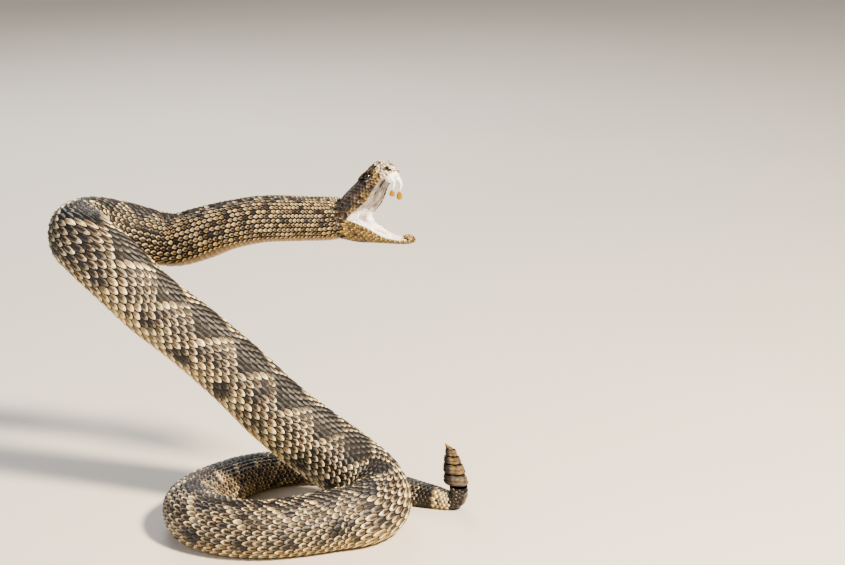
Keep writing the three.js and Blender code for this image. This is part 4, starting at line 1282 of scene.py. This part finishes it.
# Thinner keratin of the head's small plates, slightly glossier than the body's
headTones = {
    "inside": "#443630", "dark": "#0e0a0b", "border": "#f6f1e4", "belly": "#a88534", "tip": "#f2dca0",
    "paleGapShade": "#2c2622", "paleRimAndHighlightShare": 0.42, "streakShare": 0.7, "speckShare": 0.6, "roughness": 0.4,
}
headScaleKeratin = scaleMaterial("fine head scale keratin", scaleTones | headTones)


# Bare skin between the scales: darker, made near black as painted shade in the gaps over its own dark colour,
# matt and finely wrinkled
def skinMaterial():
    settings = {"Roughness": 0.7, "IOR": 1.45}
    material, tree, shader, place, channels = newMaterial("bare reptile skin", settings)
    dark, border, belly = channels[:3]
    # wrinkles about 0.8 mm apart
    wrinkle = addNode(tree, "ShaderNodeTexVoronoi", {"feature": "DISTANCE_TO_EDGE"},
                      {"Vector": place, "Scale": 1200.0})
    # near-black base: painted shade in the gaps between the scales
    finishSurface(tree, shader, "#0d0908", [
        ("#060506", dark),
        ("#3d270c", (belly, 0, 1, 0, 0.5)),
        ("#9a815a", border),
    ], relief=(wrinkle, 0.4, 0.3))
    return material


# Wet mouth lining: white and glossy over the cheeks and fang sleeves, greyed along the palate by painted
# shade, with painted shade deep in the throat and in its creases
def mouthMaterial():
    material, tree, shader, place, channels = newMaterial("wet mouth membrane", {
        "Roughness": 0.28, "IOR": 1.38, "Coat Weight": 0.4, "Coat Roughness": 0.12,
        "Subsurface Weight": 0.12, "Subsurface Radius": (0.002, 0.0008, 0.0006)})
    palateShade, deep, creaseShade = channels[:3]
    # small vessels and wrinkles, about 1 mm apart
    vein = addNode(tree, "ShaderNodeTexNoise", inputs={"Vector": place, "Scale": 900.0, "Detail": 5.0})
    finishSurface(tree, shader, "#fbf8f3", [
        ("#e6d8d2", (vein, 0.45, 0.75, 0, 1)),
        # painted shade greying the palate
        ("#979089", (palateShade, 0, 1, 0, 1)),
        # painted shade in the creases and folds
        ("#453d39", (creaseShade, 0, 1, 0, 0.9)),
        # painted shade deep in the mouth and in the windpipe's slit
        ("#66504b", deep),
    ], relief=(vein, 0.45, 0.4))
    return material


# Enamel of the fangs: ivory, yellower at the root, polished
def fangMaterial():
    material, tree, shader, place, channels = newMaterial("ivory fang enamel", {
        "Roughness": 0.18, "IOR": 1.62, "Subsurface Weight": 0.1,
        "Subsurface Radius": (0.001, 0.0008, 0.0005)})
    towardsTip = channels[3]
    # clouding about 1.4 mm across
    cloud = addNode(tree, "ShaderNodeTexNoise", inputs={"Vector": place, "Scale": 700.0, "Detail": 3.0})
    finishSurface(tree, shader, "#fbf6e8", [
        ("#fffef8", towardsTip),
        ("#e4d8b6", (cloud, 0.4, 0.8, 0, 0.3)),
    ])
    return material


# Fresh venom: clear amber liquid with a mirror-like skin
def venomMaterial():
    material, tree, shader, place, _ = newMaterial("amber venom liquid", {
        "Roughness": 0.04, "IOR": 1.35, "Transmission Weight": 0.35, "Coat Weight": 0.6,
        "Coat Roughness": 0.03})
    # swirls about 4 mm across
    swirl = addNode(tree, "ShaderNodeTexNoise", inputs={"Vector": place, "Scale": 260.0, "Detail": 2.0})
    finishSurface(tree, shader, "#9c6a02", [("#c9930c", swirl)])
    return material


# Iris under its clear scale: bronze specks on dark brown, darkened to near black as painted shade from the
# brow, a black slit, a wet highlight
def eyeMaterial():
    material, tree, shader, place, channels = newMaterial("clear eye scale over iris", {
        "Roughness": 0.12, "IOR": 1.4, "Coat Weight": 0.5, "Coat Roughness": 0.02})
    pupil, rim, speck = channels[:3]
    # base and specks kept near black: painted shade from the brow over the iris's own brown
    finishSurface(tree, shader, "#120e0c", [("#35291c", speck), ("#100c0b", rim), ("#040305", pupil)])
    return material


# Rattle horn: dry hollow keratin, tan on one side and brown on the other, dull with fine growth lines, with
# painted shade in the grooves where the segments meet
def rattleMaterial():
    material, tree, shader, place, channels = newMaterial("dry rattle horn", {"Roughness": 0.5, "IOR": 1.55})
    part, number, around = channels[3:]
    # stains about 3 mm across, and growth lines about 0.5 mm apart up the rattle
    stain = addNode(tree, "ShaderNodeTexNoise", inputs={"Vector": place, "Scale": 290.0, "Detail": 4.0})
    growth = addNode(tree, "ShaderNodeTexWave", {"bands_direction": "Z"},
                     {"Vector": place, "Scale": 640.0, "Distortion": 3.0, "Detail": 2.0}).outputs[1]
    finishSurface(tree, shader, "#5c5344", [
        ("#8a6420", number),
        ("#a57f33", (stain, 0.48, 0.7, 0, 0.8)),
        ("#2b1d11", (stain, 0.38, 0.5, 0.8, 0)),
        ("#1c0c05", (around, 0.24, 0.56, 0.96, 0)),
        ("#21140b", (growth, 0.55, 0.9, 0, 0.35)),
        # painted shade in the grooves where each segment sits in the next
        ("#140b06", (part, 0.84, 0.95, 0, 1)),
        ("#1a100a", (part, 0.02, 0.12, 1, 0)),
    ], relief=(growth, 0.5, 0.3))
    return material


# Build
fleshNodes = ["neck", "fore_body_bend", "raised_body_upper", "raised_body_lower", "coil_turn", "coil_front",
              "coil_left", "coil_back", "tail_base", "tail"]
points, faces, marks, uv = bodySkin(scaleLook["skinFrom"], bodyLong - 0.2, scaleLook["skinDepth"])
headSkinMarks = headMarks(skinPoints)
chinTip = smoothstep(jawIn(skinPoints)[:, 0], 38, 43) * (local[:, 2] < -6)
headSkinMarks[:, 1] = headSkinMarks[:, 1] * (1 - chinTip) + 0.6 * chinTip
headSkinMarks[:, 2] = np.maximum(headSkinMarks[:, 2], chinTip)
headSkinMarks[:, 0] *= 1 - chinTip
headUv = np.stack([np.clip((local[:, 0] + 30) / 85, 0, 1) * 0.03,
                   0.5 + np.arctan2(local[:, 1], local[:, 2] - 3) / 6.6], axis=-1)
skin = buildMesh("snakeSkin", np.concatenate([points, skinPoints]),
                 np.concatenate([faces, skinQuads + len(points)]), skinMaterial(),
                 uv=np.concatenate([uv, headUv]), marks={"marks": np.concatenate([marks, headSkinMarks])})
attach(skin, "root")
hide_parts(*fleshNodes, "head", "lower_jaw")
print("skin:", len(skin.data.polygons), "faces")
headScales = buildHeadPlates("headScales", headScaleKeratin)
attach(headScales, "root")
print("headScales:", len(headScales.data.polygons) * 2, "triangles")

mouth = buildMouth(mouthMaterial())
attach(mouth, "root")
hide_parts("mouth_lining")
print("mouthLining:", len(mouth.data.polygons), "faces")

eyeSurface, fangEnamel, venom = eyeMaterial(), fangMaterial(), venomMaterial()
for word, side, radius, length in (("left", 1, 1.9, 5.8), ("right", -1, 1.85, 4.6)):
    eye = buildEye(f"eye{word.title()}", side, eyeSurface)
    fang = buildFang(f"fang{word.title()}", side, fangEnamel)
    drop = buildDrop(f"drop{word.title()}", side, radius, length, venom)
    for piece, node, slot in ((eye, "eye", "eye"), (fang, "fang", "fang"), (drop, "venom_drop", "venom")):
        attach(piece, "root")
        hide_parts(f"{node}_{word}")
rattle = buildRattle(rattleMaterial())
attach(rattle, "root")
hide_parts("rattle")
print("eyes, fangs, venom and rattle placed")

cuts = [*scaleLook["cuts"], bodyLong - 1]
scalePieces = [bodyScales(f"bodyScales{i + 1}", cuts[i], cuts[i + 1], bodyScaleKeratin)
               for i in range(len(cuts) - 1)]
scalePieces.append(bellyScutes("bellyScutes", scaleLook["scutesFrom"], bodyLong - 1, bellyKeratin))
for piece in scalePieces:
    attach(piece, "root")
    print(piece.name, len(piece.data.polygons) * 2, "triangles")


# Floor, light and camera
def addFloor():
    material, tree, shader, place, _ = newMaterial("pale matt studio floor", {"Roughness": 0.9, "IOR": 1.4})
    # faint clouds a third of a metre across
    cloud = addNode(tree, "ShaderNodeTexNoise", inputs={"Vector": place, "Scale": 3.0, "Detail": 4.0})
    finishSurface(tree, shader, "#d3ccc2", [("#dbd5cc", cloud)])
    bpy.ops.mesh.primitive_plane_add(size=14)
    floor = bpy.context.object
    floor.name = "studioFloor"
    floor.data.materials.append(material)


# Lights: place, aim, size, power and colour. The key is small and warm, for hard sunlit edges.
studio = {
    "keyLight": ((0.95, -0.8, 1.35), (0, 0, 0.1), 0.24, 90, "#ffefd6"),
    "fillLight": ((-1.4, -1.0, 0.9), (0, 0, 0.12), 1.2, 12, "#eef2ff"),
    "backLight": ((-0.3, 1.4, 1.2), (0, 0, 0.15), 0.9, 16, "#ffffff"),
}
surroundings = {"colour": "#e9edf2", "strength": 0.33, "contrast": "AgX - Medium High Contrast"}
photoView = {"lens": 85, "sensor": 36, "place": (0.1109, -1.28491, 0.564), "tilt": 73}

addFloor()
for name, (place, aim, size, power, colour) in studio.items():
    lamp = bpy.data.lights.new(name, "AREA")
    lamp.size = size
    lamp.energy = power
    lamp.color = linear(colour)[:3]
    light = bpy.data.objects.new(name, lamp)
    light.location = place
    light.rotation_euler = (Vector(aim) - Vector(place)).to_track_quat("-Z", "Y").to_euler()
    bpy.context.scene.collection.objects.link(light)
world = bpy.data.worlds.new("studioAir")
world.use_nodes = True
world.node_tree.nodes["Background"].inputs[0].default_value = linear(surroundings["colour"])
world.node_tree.nodes["Background"].inputs[1].default_value = surroundings["strength"]
bpy.context.scene.world = world
bpy.context.scene.view_settings.look = surroundings["contrast"]

lens = bpy.data.cameras.new("photoCamera")
lens.lens = photoView["lens"]
lens.sensor_width = photoView["sensor"]
camera = bpy.data.objects.new("photoCamera", lens)
camera.location = photoView["place"]
camera.rotation_euler = (math.radians(photoView["tilt"]), 0, 0)
bpy.context.scene.collection.objects.link(camera)
bpy.context.scene.camera = camera
print("floor, lights and camera placed")
